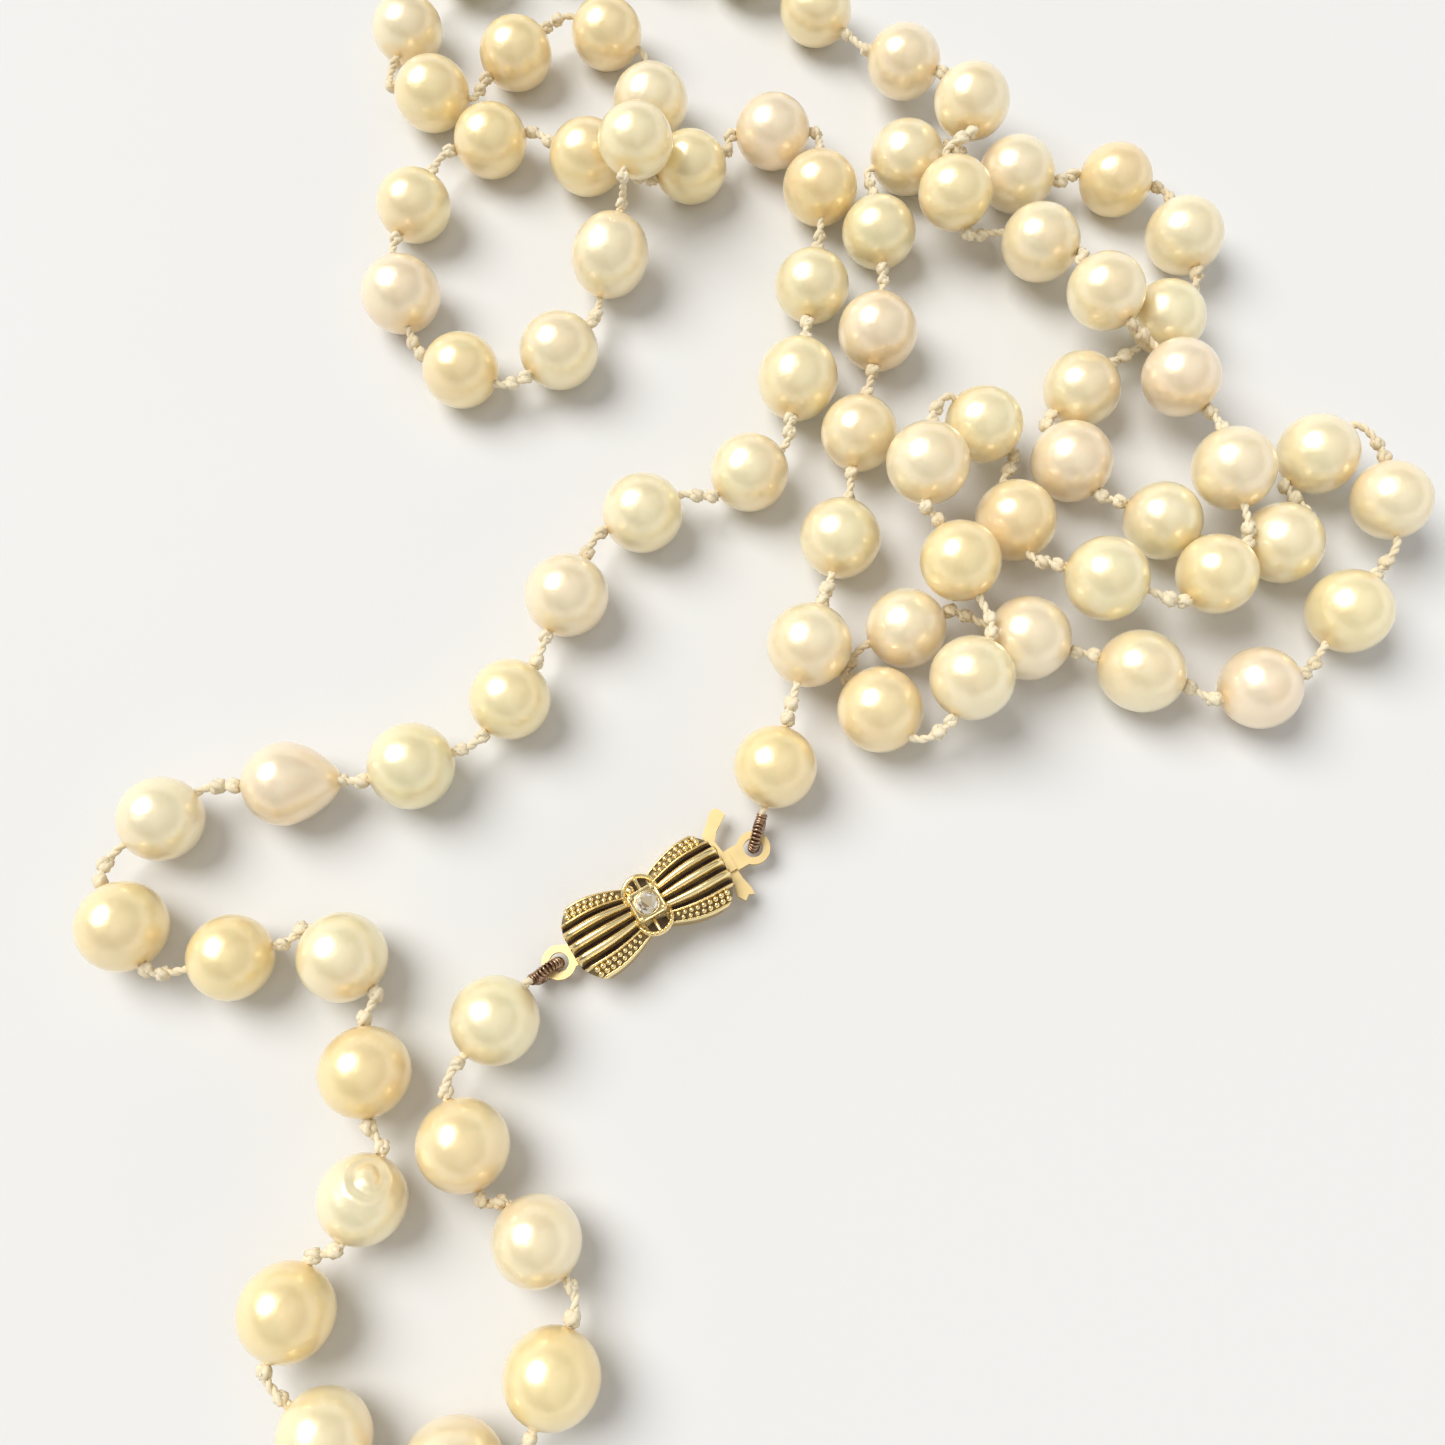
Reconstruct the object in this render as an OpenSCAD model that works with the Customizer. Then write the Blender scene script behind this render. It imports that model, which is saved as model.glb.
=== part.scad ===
// A long single strand of hand-knotted pearls with a bow-shaped box clasp, laid out on a table top.
// Millimetres. The strand lies on the plane z = 0, and the clasp rests on its back.

/* [Pearls] */
// Mean diameter of a pearl
pearl_d = 6.5; // [5.5:0.1:7.5]
// Share by which pearl sizes differ from the mean
size_spread = 0.03; // [0:0.005:0.04]
// Diameter of the drilled hole
bore_d = 0.9; // [0.8:0.05:1.1]
// Length of the point on the drop-shaped pearl
drop_point = 2.2; // [1.5:0.1:2.4]

/* [Silk] */
// Diameter of the silk thread
silk_d = 0.62; // [0.5:0.02:0.7]
// Diameter of one knot
knot_d = 1.15; // [1:0.05:1.3]
// Bare thread from pearl to pearl, knots included
knot_gap = 2.6; // [2.4:0.05:3]
// Play between a knot and the pearl that it holds
knot_seat = 0.12; // [0.08:0.01:0.2]

/* [Clasp case] */
// Length of the bow, tip to tip
bow_l = 13; // [12.5:0.1:13.5]
// Width of a bow lobe at its widest
lobe_w = 6.2; // [5.8:0.1:6.6]
// Width of the bow at its waist
waist_w = 3.2; // [2.9:0.1:3.6]
// How far the ends of the bow are rounded back at the corners
end_sag = 1.3; // [0.8:0.1:1.6]
// Height of the case below the bow cover
case_h = 2.5; // [2.4:0.1:2.8]
// Thickness of the case wall and floor
case_wall = 0.35; // [0.3:0.05:0.45]
// Overhang of the bow cover beyond the case
cover_rim = 0.3; // [0.2:0.05:0.4]
// Direction of the clasp on the table, anticlockwise from +X
clasp_turn = 31; // [26:1:36]

/* [Bow cover] */
// Height of the lobe domes above the case
dome_h = 1.2; // [1:0.05:1.5]
// Radius of the lobe domes
dome_r = 6.8; // [6.2:0.1:8]
// Ribs on each lobe
rib_count = 3; // [3:1:4]
// Diameter of a rib
rib_d = 0.9; // [0.7:0.02:0.96]
// Angle between two ribs
rib_step = 14; // [13:0.5:15]
// Height of the rib tops above the case
rib_top = 1.5; // [1.4:0.05:1.8]
// Radius of the rib arcs
rib_arc = 7; // [6:0.5:9]
// Ring diameter of the ribbon loops beside the stone
loop_d = 1.5; // [1.3:0.1:1.7]
// Wire diameter of the ribbon loops
loop_wire = 0.56; // [0.4:0.02:0.6]

/* [Stone] */
// Girdle diameter of the stone
stone_d = 1.7; // [1.4:0.1:1.8]
// Side of the square collet
collet_w = 2.3; // [2.2:0.1:2.6]
// Height of the collet above the case
collet_top = 1.8; // [1.7:0.05:2.1]
// Height at which the collet is seated in the cover
collet_seat = 0.4; // [0.3:0.05:0.5]

/* [Tongue] */
// Width of the tongue inside the case
tongue_w = 3.4; // [3:0.1:3.6]
// How far the tongue reaches into the case
tongue_reach = 4.5; // [4:0.1:4.7]
// Thickness of the tongue sheet
sheet = 0.4; // [0.3:0.05:0.45]
// Thickness of the spring leaf
leaf = 0.25; // [0.2:0.05:0.3]
// Reach of the fish-tail wing from the middle line
tail_reach = 3.2; // [2.9:0.1:3.6]
// Reach of the paddle wing from the middle line
paddle_reach = 4.2; // [3.9:0.1:4.6]
// Width of the neck that leads to the eyelet, and of the leaf's neck
neck_w = 1.6; // [1.4:0.1:1.8]
// Running play of the tongue in the case
play = 0.1; // [0.08:0.01:0.14]

/* [Eyelets and gimp] */
// Outer diameter of an eyelet
eyelet_d = 2.6; // [2.5:0.1:3]
// Hole of an eyelet
eyelet_hole = 1.5; // [1.4:0.05:1.6]
// Distance of the case eyelet from the middle of the bow
case_eye = 7.7; // [7.6:0.1:8]
// Distance of the tongue eyelet from the middle of the bow
tongue_eye = 9.2; // [9.1:0.1:9.6]
// Diameter of the gimp coil
gimp_d = 0.8; // [0.7:0.05:0.85]
// Play of the gimp loop round the eyelet rim
gimp_play = 0.25; // [0.22:0.01:0.3]
// Straight length of gimp beyond its loop
gimp_neck = 0.2; // [0.1:0.05:0.25]

/* [Hidden] */
$fn = 64;
eps = 0.01;
pitch = pearl_d + knot_gap;
knot_r = knot_d / 2;
case_l = bow_l - 2 * cover_rim;
// Height of the eyelet plates and of the tongue inside the case
plate_z = 1.25;
eye_z = plate_z + sheet / 2;
// Middle of the bow on the table
clasp_place = [-5, -13.9];

// Places of the pearls in pitches, [x, y, lift], from the case end of the strand to the tongue end
link_places = [
    [-1.75, -2.45, 0], [-1.95, -3.4, 0], [-1.35, -4.1, 0], [-1.2, -5.05, 0],
    [-1.9, -5.65, 0], [-2.85, -5.45, 0]
];
bottom_turn = [
    [-3.2, -4.6, 0], [-2.7, -3.8, 0], [-2.75, -2.85, 0], [-3, -1.95, 0]
];
left_loop = [
    [-3.9, -1.95, 0], [-4.8, -1.7, 0], [-4.6, -0.8, 0], [-3.6, -0.5, 0],
    [-2.55, -0.35, 0]
];
rise = [
    [-1.75, 0.25, 0], [-1.3, 1.2, 0], [-0.65, 2, 0], [0.3, 2.4, 0],
    [0.75, 3.35, 0], [0.9, 4.35, 0], [1, 5.45, 0]
];
top_row = [
    [0.55, 6.1, 0], [-0.25, 5.7, 0], [-1.25, 5.8, 0], [-2.2, 6, 0]
];
top_loop = [
    [-2.9, 5.25, 0], [-2.95, 4.25, 0], [-2.35, 3.45, 0], [-1.45, 3.65, 0],
    [-1, 4.65, 0.05]
];
top_turn = [
    [-0.75, 5.55, 0.55], [-0.65, 6.45, 0], [-1.1, 7.3, 0], [-2, 7.05, 0],
    [-2.8, 6.55, 0]
];
far_run = [
    [-3.1, 7.35, 0], [-2.55, 8.25, 0], [-1.65, 8.6, 0], [-0.65, 8.6, 0],
    [0.25, 8.25, 0], [1, 7.6, 0]
];
right_fall = [
    [1.85, 6.85, 0.1], [2.45, 6.2, 0.3], [2.25, 5.2, 0.25], [3.05, 4.75, 0.1],
    [3.55, 4.05, 0.35], [4.2, 3.25, 0.2], [4.55, 2.3, 0.25], [4.3, 1.3, 0.25],
    [3.35, 1.25, 0.25], [2.65, 1.9, 0.05], [2.4, 2.8, 0.15]
];
inner_loop = [
    [1.85, 2.3, 0.35], [2.1, 1.4, 0.3], [2.15, 0.35, 0.25], [1.4, 0.15, 0],
    [1.65, 0.9, 0], [2.7, 0.8, 0]
];
outer_loop = [
    [3.65, 0.5, 0], [4.65, 0.35, 0], [5.5, 1.05, 0], [5.95, 2.05, 0.15],
    [5.4, 2.55, 0.05], [5, 1.7, 0]
];
right_rise = [
    [3.95, 1.9, 0.05], [3.2, 2.5, 0], [3.35, 3.25, 0], [4.2, 4, 0],
    [4.45, 4.9, 0], [3.85, 5.55, 0], [2.9, 5.6, 0]
];
last_run = [
    [1.85, 5.8, 0], [1.55, 4.95, 0], [1.5, 3.85, 0], [1.3, 2.8, 0],
    [1.1, 1.75, 0], [0.8, 0.7, 0.1], [0.5, -0.35, 0]
];

// Each stretch: name, places, whether its silk holds the knots before it and those after it,
// and whether it swings on the knots of its neighbours
STRETCHES = [
    ["link", link_places, false, false, true],
    ["bottom_turn", bottom_turn, true, true, false],
    ["left_loop", left_loop, false, false, true],
    ["rise", rise, true, true, false],
    ["top_row", top_row, false, true, false],
    ["top_loop", top_loop, false, false, true],
    ["top_turn", top_turn, true, true, false],
    ["far_run", far_run, false, false, true],
    ["right_fall", right_fall, true, true, false],
    ["inner_loop", inner_loop, false, true, false],
    ["outer_loop", outer_loop, false, true, false],
    ["right_rise", right_rise, false, true, false],
    ["last_run", last_run, false, false, false]
];
// Stretches whose pearls are single pieces that turn on the silk
SINGLES = ["link", "left_loop", "top_loop"];
// Pearls that are not round, with their length as a share of their width
OVALS = [[4, 1.08], [19, 1.07], [30, 1.12], [41, 1.06], [59, 1.06]];
// The pearl that is drawn out to a point
DROP = 13;

places = [for (s = STRETCHES) each s[1]];
count = len(places);
function first_of(k) = k == 0 ? 0 : first_of(k - 1) + len(STRETCHES[k - 1][1]);
function is_single(k) = len([for (s = SINGLES) if (s == STRETCHES[k][0]) s]) > 0;
function unit(v) = v / norm(v);
function share(i) = let (hit = search(i, OVALS)) len(hit) == 0 ? 1 : OVALS[hit[0]][1];

// Pearl sizes and places
function radius(i) = pearl_d / 2 * (1 + size_spread * sin(i * 137.5));
function half_in(i) = radius(i) * share(i);
function half_out(i) = i == DROP ? radius(i) + drop_point / 2 : radius(i) * share(i);
reach_x = [for (i = [0:count - 1], side = [-1, 1]) places[i][0] * pitch + side * radius(i)];
reach_y = [for (i = [0:count - 1], side = [-1, 1]) places[i][1] * pitch + side * radius(i)];
// Middle of the whole layout, which becomes the origin
middle = [(min(reach_x) + max(reach_x)) / 2, (min(reach_y) + max(reach_y)) / 2];
clasp_middle = clasp_place - middle;
function on_table(p) = [p[0] * pitch, p[1] * pitch] - middle;
function clasp_axis() = [cos(clasp_turn), sin(clasp_turn)];
function clasp_point(x) = concat(clasp_middle + x * clasp_axis(), eye_z);
function centre(i) = i < 0 ? clasp_point(-case_eye)
    : i >= count ? clasp_point(tongue_eye)
    : concat(on_table(places[i]), radius(i) + places[i][2] * pitch);

// Thread that leaves a pearl straight before it bends; a swinging pearl bends at the middle of a knot
stub = 0.42;
bend_d = 1.15 * silk_d;
owner = [for (k = [0:len(STRETCHES) - 1], p = STRETCHES[k][1]) k];
function last_of(k) = first_of(k) + len(STRETCHES[k][1]) - 1;
function hinged_in(i) = owner[i] > 0 && STRETCHES[owner[i]][4] && i == first_of(owner[i]);
function hinged_out(i) = STRETCHES[owner[i]][4] && (owner[i] == 0 || i == last_of(owner[i]));
function bend_reach(hinged) = hinged ? knot_seat + knot_r : stub;
function reach_in(i) = half_in(i) + bend_reach(hinged_in(i));
function reach_out(i) = half_out(i) + bend_reach(hinged_out(i));

// Drill directions: from neighbour to neighbour, then eased so that the thread runs short
function entry(d, i) = i >= count ? centre(count) : centre(i) - d[i] * reach_in(i);
function exit(d, i) = i < 0 ? centre(-1) : centre(i) + d[i] * reach_out(i);
function eased(d, passes) = passes == 0 ? d
    : eased([for (i = [0:count - 1]) unit(d[i] + unit(entry(d, i + 1) - exit(d, i - 1)))], passes - 1);
drills = eased([for (i = [0:count - 1]) unit(centre(i + 1) - centre(i - 1))], 6);
function drill(i) = drills[i];
function bend_in(i) = entry(drills, i);
function bend_out(i) = exit(drills, i);

// How far from its bend, along d, a knot stands clear of pearl i
knot_clear = 0.08;
function knot_shift(i, half, bend, d, hinged) =
    let (v = bend - centre(i), r = half + knot_r + knot_clear, b = v * d, c = v * v - r * r)
        hinged || c >= 0 ? 0 : sqrt(b * b - c) - b;

function numbered(name, n) = [for (i = [1:n]) str(name, "_", i)];
function pearl_nodes(k) = let (name = STRETCHES[k][0], n = len(STRETCHES[k][1]))
    is_single(k) ? numbered(str(name, "_pearl"), n) : [str(name, "_pearls")];
function silk_nodes(k) = let (name = STRETCHES[k][0], n = len(STRETCHES[k][1]))
    k == 0 ? numbered(str(name, "_silk"), n) : [str(name, "_silk")];

// Shared shapes

// Turns the Z axis of its children to lie along v
module along(v) {
    rotate([0, acos(v[2] / norm(v)), atan2(v[1], v[0])])
        children();
}

module rod(a, b, d) {
    translate(a)
        along(b - a)
            cylinder(h = norm(b - a), d = d);
}

module in_clasp_frame() {
    translate(concat(clasp_middle, 0))
        rotate([0, 0, clasp_turn])
            children();
}

// Half width of the bow at a distance x from its middle
function bow_half(x) = (waist_w + (lobe_w - waist_w) * sin(90 * min(1, x / (0.36 * bow_l)))) / 2;
// Flat middle of each end of the bow
end_flat = 1;
bow_steps = 7;
function bow_side(inset) = [
    for (k = [0:bow_steps])
        let (x = (bow_l / 2 - end_sag - inset) * k / bow_steps) [x, bow_half(x) - inset]
];
function bow_end(inset) = [
    for (y = [0.85, 0.65, 0.45])
        let (w = lobe_w / 2 - inset, s = (y * w - end_flat) / (w - end_flat))
            [bow_l / 2 - inset - end_sag * max(0, s) * max(0, s), y * w],
    [bow_l / 2 - inset, end_flat]
];
function mirrored(points, sx, sy) = [
    for (i = [0:len(points) - 1])
        let (p = points[sx * sy > 0 ? i : len(points) - 1 - i]) [p[0] * sx, p[1] * sy]
];

// Outline of the bow, drawn in by inset all round
module bow_outline(inset) {
    quarter = concat([for (p = bow_side(inset)) if (p[0] > 0) p], bow_end(inset));
    waist = [0, bow_half(0) - inset];
    polygon(concat(
        [waist], quarter, mirrored(quarter, 1, -1), [[0, -waist[1]]],
        mirrored(quarter, -1, -1), mirrored(quarter, -1, 1)
    ));
}

// Clasp

mouth_top = plate_z + sheet + play + leaf + play;
notch_top = case_h - play;
module clasp_box() color("#d9bb6a") in_clasp_frame() {
    slot_w = tongue_w + 2 * play;
    notch_w = neck_w + 2 * play;
    mouth_l = 3 * case_wall;
    difference() {
        linear_extrude(case_h) bow_outline(cover_rim);
        translate([0, 0, case_wall])
            linear_extrude(case_h) bow_outline(cover_rim + case_wall);
        translate([case_l / 2 - mouth_l, -slot_w / 2, plate_z - play])
            cube([2 * mouth_l, slot_w, mouth_top - plate_z + play]);
        translate([case_l / 2 - mouth_l, -notch_w / 2, plate_z])
            cube([2 * mouth_l, notch_w, notch_top - plate_z]);
    }
    guide_rails();
}

// Two rails on the case floor that carry the tongue
module guide_rails() {
    rail_w = 0.5;
    rail_l = tongue_reach - 1;
    for (side = [-1, 1])
        translate([case_l / 2 - case_wall - rail_l, side * tongue_w / 2 - side * rail_w - rail_w / 2, eps])
            cube([rail_l, rail_w, plate_z - play - eps]);
}

// Domed bow with ribs that fan out from the waist, and a ribbon loop on each side of the stone
module bow_cover() color("#e3c878") in_clasp_frame() {
    plate = 0.3;
    dome_x = bow_l / 4 + 0.15;
    difference() {
        union() {
            translate([0, 0, case_h])
                linear_extrude(plate) bow_outline(0);
            intersection() {
                translate([0, 0, case_h])
                    linear_extrude(dome_h + 1) bow_outline(cover_rim);
                union() {
                    for (side = [-1, 1])
                        translate([side * dome_x, 0, case_h + dome_h - dome_r])
                            sphere(r = dome_r);
                }
            }
            for (side = [0, 180], k = [0:rib_count - 1])
                rotate([0, 0, side + rib_step * (k - (rib_count - 1) / 2)])
                    rib();
            for (side = [-1, 1])
                ribbon_loop(side);
        }
        translate([-collet_w / 2 - eps, -collet_w / 2 - eps, case_h + collet_seat])
            cube([collet_w + 2 * eps, collet_w + 2 * eps, dome_h + rib_top]);
    }
}

// One rib, an arc of round wire over the lobe
module rib() {
    inner = 1.5;
    outer = bow_l / 2 - 0.35;
    sweep = 2 * asin((outer - inner) / 2 / rib_arc);
    translate([(inner + outer) / 2, 0, case_h + rib_top - rib_d / 2 - rib_arc])
        rotate([90, 0, 0])
            rotate([0, 0, 90 - sweep / 2])
                rotate_extrude(angle = sweep)
                    translate([rib_arc, 0])
                        circle(d = rib_d);
}

module ribbon_loop(side) {
    translate([0, side * (collet_w / 2 + loop_d / 2 - loop_wire / 2), case_h + 0.55])
        rotate_extrude()
            translate([loop_d / 2, 0])
                circle(d = loop_wire);
}

// Square setting with a cone-shaped seat and a bead at each corner
girdle_z = case_h + collet_top - 0.05;
module stone_collet() color("#e8d08a") in_clasp_frame() {
    bead_d = 0.5;
    difference() {
        translate([-collet_w / 2, -collet_w / 2, case_h + collet_seat])
            cube([collet_w, collet_w, collet_top - collet_seat]);
        translate([0, 0, eps])
            stone_shape(2 * eps);
    }
    for (x = [-1, 1], y = [-1, 1])
        translate([x * 0.43 * collet_w, y * 0.43 * collet_w, case_h + collet_top])
            sphere(d = bead_d);
}

module stone_shape(grow) {
    pavilion = 0.42 * stone_d;
    crown = 0.2 * stone_d;
    translate([0, 0, girdle_z - pavilion])
        cylinder(h = pavilion, d1 = 0.15 * stone_d + grow, d2 = stone_d + grow);
    translate([0, 0, girdle_z])
        cylinder(h = crown, d1 = stone_d + grow, d2 = 0.55 * stone_d + grow);
}

module stone() color("#f4efe2") in_clasp_frame() {
    stone_shape(0);
}

module eyelet_plate(from_x, eye_x) {
    foot_w = 1.8;
    difference() {
        union() {
            translate([min(from_x, eye_x), -foot_w / 2])
                square([abs(eye_x - from_x), foot_w]);
            translate([eye_x, 0])
                circle(d = eyelet_d);
        }
        translate([eye_x, 0])
            circle(d = eyelet_hole);
    }
}

module box_eyelet() color("#d9bb6a") in_clasp_frame() {
    translate([0, 0, plate_z])
        linear_extrude(sheet) eyelet_plate(-case_l / 2, -case_eye);
}

// Flat tongue: strip in the case, and outside it a fish-tail wing, a paddle wing and the eyelet
tip_x = case_l / 2 - tongue_reach;
wing_x = bow_l / 2 + 2 * play;
module tongue() color("#e6d08c") in_clasp_frame() {
    translate([0, 0, plate_z])
        linear_extrude(sheet) {
            translate([tip_x, -tongue_w / 2])
                square([wing_x - tip_x + eps, tongue_w]);
            translate([wing_x, 0]) {
                polygon([
                    [0, 0], [-0.1, -1.4], [-0.45, 0.6 - tail_reach], [-0.1, -tail_reach],
                    [0.35, 0.3 - tail_reach], [0.75, 0.1 - tail_reach], [0.8, 0.6 - tail_reach],
                    [0.6, -1.5], [0.6, 0]
                ]);
                polygon([
                    [0, 0], [0.5, 0], [0.3, 1.2], [0.2, 1.9], [0.7, paddle_reach - 1.7],
                    [2, paddle_reach - 0.85], [1.75, paddle_reach - 0.15], [1.2, paddle_reach],
                    [-0.45, paddle_reach - 1.5], [-0.3, 1.6]
                ]);
            }
            eyelet_plate(wing_x, tongue_eye);
        }
}

// Spring leaf above the tongue, folded at its tip, with a thumb tab outside the case
leaf_z = plate_z + sheet + play;
module tongue_spring() color("#e6d08c") in_clasp_frame() {
    shoulder_x = case_l / 2 - case_wall - end_sag / 2;
    leaf_w = tongue_w - 2 * play;
    tab_l = 0.6;
    fold_d = leaf + 0.06;
    translate([tip_x + fold_d, leaf_w / 2, leaf_z + fold_d / 2 - 0.03])
        rotate([90, 0, 0])
            cylinder(h = leaf_w, d = fold_d);
    translate([tip_x + fold_d, -leaf_w / 2, leaf_z])
        cube([shoulder_x - tip_x - fold_d, leaf_w, leaf]);
    translate([shoulder_x - eps, -neck_w / 2, leaf_z])
        cube([wing_x - shoulder_x + tab_l, neck_w, leaf]);
}

// Gimp: a coil of fine wire over the silk, looped round the rim of an eyelet
rim_mid = (eyelet_d + eyelet_hole) / 4;
loop_in = norm([eyelet_d - eyelet_hole, 2 * sheet]) / 4 + gimp_play;
loop_mid = loop_in + gimp_d / 2;
function flat_unit(v) = let (f = [v[0], v[1], 0]) f / norm(f);
function loop_centre(eye, bend) = eye + rim_mid * flat_unit(bend - eye);
function gimp_end(eye, bend) = let (t = loop_centre(eye, bend))
    t + unit(bend - t) * (loop_mid + gimp_d / 2 + gimp_neck);

module gimp(eye, bend) {
    t = loop_centre(eye, bend);
    to_pearl = bend - eye;
    translate(t)
        rotate([0, 0, atan2(to_pearl[1], to_pearl[0])])
            rotate([90, 0, 0])
                rotate_extrude()
                    translate([loop_mid, 0])
                        circle(d = gimp_d);
    rod(t + unit(bend - t) * loop_mid, gimp_end(eye, bend), gimp_d * 0.95);
}

module gimp_box_end() color("#8a6238") gimp(centre(-1), bend_in(0));
module gimp_tongue_end() color("#8a6238") gimp(centre(count), bend_out(count - 1));

// Pearls

// Pearl with a short straight girdle, longer along the drill than it is wide
module oval(r, half) {
    off = half - r;
    for (side = [-1, 1])
        translate([0, 0, side * off])
            sphere(r = r);
    translate([0, 0, -off])
        cylinder(h = 2 * off, r = r);
}

// Round pearl drawn out to a blunt point along the drill
module drop(r) {
    tip_r = 0.45 * r;
    reach = r + drop_point / 2 - tip_r;
    slope = (r - tip_r) / reach;
    flank = sqrt(1 - slope * slope);
    sphere(r = r);
    translate([0, 0, r * slope])
        cylinder(h = reach + (tip_r - r) * slope, r1 = r * flank, r2 = tip_r * flank);
    translate([0, 0, reach])
        sphere(r = tip_r);
}

module pearl(i) color("#f1dfb4") {
    r = radius(i);
    translate(centre(i))
        along(drill(i))
            difference() {
                if (i == DROP) drop(r);
                else if (share(i) == 1) sphere(r = r);
                else oval(r, half_in(i));
                translate([0, 0, -2 * r])
                    cylinder(h = 4 * r, d = bore_d);
            }
}

// Silk

// Direction of the thread from pearl i to the next one, and the shifts of its two knots
function gap_way(i) = unit(bend_in(i + 1) - bend_out(i));
function shift_out(i) = knot_shift(i, half_out(i), bend_out(i), gap_way(i), hinged_out(i));
function shift_in(i) = knot_shift(i, half_in(i), bend_in(i), -gap_way(i - 1), hinged_in(i));

// Thread from bend a to b with a rounded end at each of its bends, and knots at given distances from a
module knotted_thread(a, b, knots, bends) {
    l = norm(b - a);
    translate(a)
        along(b - a) {
            cylinder(h = l, d = silk_d);
            for (z = bends)
                if (len([for (k = knots) if (abs(k - z) < knot_r) k]) == 0)
                    translate([0, 0, z])
                        sphere(d = bend_d);
            for (k = knots)
                translate([0, 0, k])
                    sphere(d = knot_d);
        }
}

// Thread and both knots between pearl i and the next one
module knotted_gap(i) {
    a = bend_out(i);
    b = bend_in(i + 1);
    l = norm(b - a);
    knotted_thread(a, b, [shift_out(i), l - shift_in(i + 1)], [0, l]);
}

// Thread through pearl i, from pole to pole
module thread(i) {
    translate(centre(i))
        along(drill(i))
            translate([0, 0, -half_in(i)])
                cylinder(h = half_in(i) + half_out(i), d = silk_d);
}

module silk(first, last, holds_before, holds_after) color("#ecdcb6") {
    for (i = [first:last])
        thread(i);
    if (last > first)
        for (i = [first:last - 1])
            knotted_gap(i);
    if (holds_before)
        knotted_gap(first - 1);
    if (holds_after)
        knotted_gap(last);
}

// Bare thread from the bend beside an end pearl into its gimp
module end_thread(bend, eye) color("#ecdcb6") {
    knotted_thread(bend, gimp_end(eye, bend), [], [0]);
}

module link_silk(i) {
    silk(i, i, i > 0, false);
    if (i == 0)
        end_thread(bend_in(0), centre(-1));
}

module stretch_silk(k) {
    first = first_of(k);
    last = last_of(k);
    silk(first, last, STRETCHES[k][2], STRETCHES[k][3]);
    if (last == count - 1)
        end_thread(bend_out(count - 1), centre(count));
}

module stretch_pearls(k) {
    for (i = [first_of(k):last_of(k)])
        pearl(i);
}

clasp_box();
bow_cover();
stone_collet();
stone();
box_eyelet();
tongue();
tongue_spring();
gimp_box_end();
gimp_tongue_end();
for (k = [0:len(STRETCHES) - 1]) {
    if (is_single(k))
        for (i = [0:len(STRETCHES[k][1]) - 1])
            pearl(first_of(k) + i);
    if (!is_single(k))
        stretch_pearls(k);
    if (k > 0)
        stretch_silk(k);
}
for (i = [0:len(link_places) - 1])
    link_silk(i);
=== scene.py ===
"""Looks of a long strand of hand-knotted pearls with a bow-shaped gold clasp.

The strand lies in loose loops on a pale floor. Each pearl, knot and length of silk sits where the
construction has it, because the places below follow the same rules, in millimetres.
"""

from __future__ import annotations

import logging
import math
import random
from dataclasses import dataclass, field
from enum import Enum
from typing import Any, Callable, Iterable, Sequence

import bmesh
import bpy
import numpy as np
from mathutils import Euler, Matrix, Vector

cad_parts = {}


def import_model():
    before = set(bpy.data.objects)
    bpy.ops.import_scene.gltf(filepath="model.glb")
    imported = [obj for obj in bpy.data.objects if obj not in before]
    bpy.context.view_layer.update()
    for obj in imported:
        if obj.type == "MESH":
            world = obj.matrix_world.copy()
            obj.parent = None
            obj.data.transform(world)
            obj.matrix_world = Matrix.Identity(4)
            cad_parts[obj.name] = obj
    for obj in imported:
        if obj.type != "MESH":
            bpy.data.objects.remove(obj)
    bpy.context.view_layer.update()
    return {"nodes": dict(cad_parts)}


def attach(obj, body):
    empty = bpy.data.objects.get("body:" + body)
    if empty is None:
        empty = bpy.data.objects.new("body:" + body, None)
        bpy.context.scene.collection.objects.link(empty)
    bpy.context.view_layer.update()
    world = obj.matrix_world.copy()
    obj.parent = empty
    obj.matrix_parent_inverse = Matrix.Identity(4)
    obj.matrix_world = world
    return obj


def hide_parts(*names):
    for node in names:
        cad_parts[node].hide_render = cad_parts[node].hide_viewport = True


LOG = logging.getLogger("pearl_strand")
MM = 0.001
Point = np.ndarray
Colour = tuple[float, float, float]
Stops = Sequence[tuple[float, Colour]]
Spot = tuple[Point, Sequence[float], Sequence[float], float]
UP = np.array([0.0, 0.0, 1.0])
UNTURNED = (0.0, 0.0, 0.0)


class Slot(Enum):
    """Names of the material slots."""

    PEARL = "pearl"
    SILK = "silk"
    GOLD = "gold"
    GIMP = "gimp"
    STONE = "stone"


# Node graphs


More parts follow.
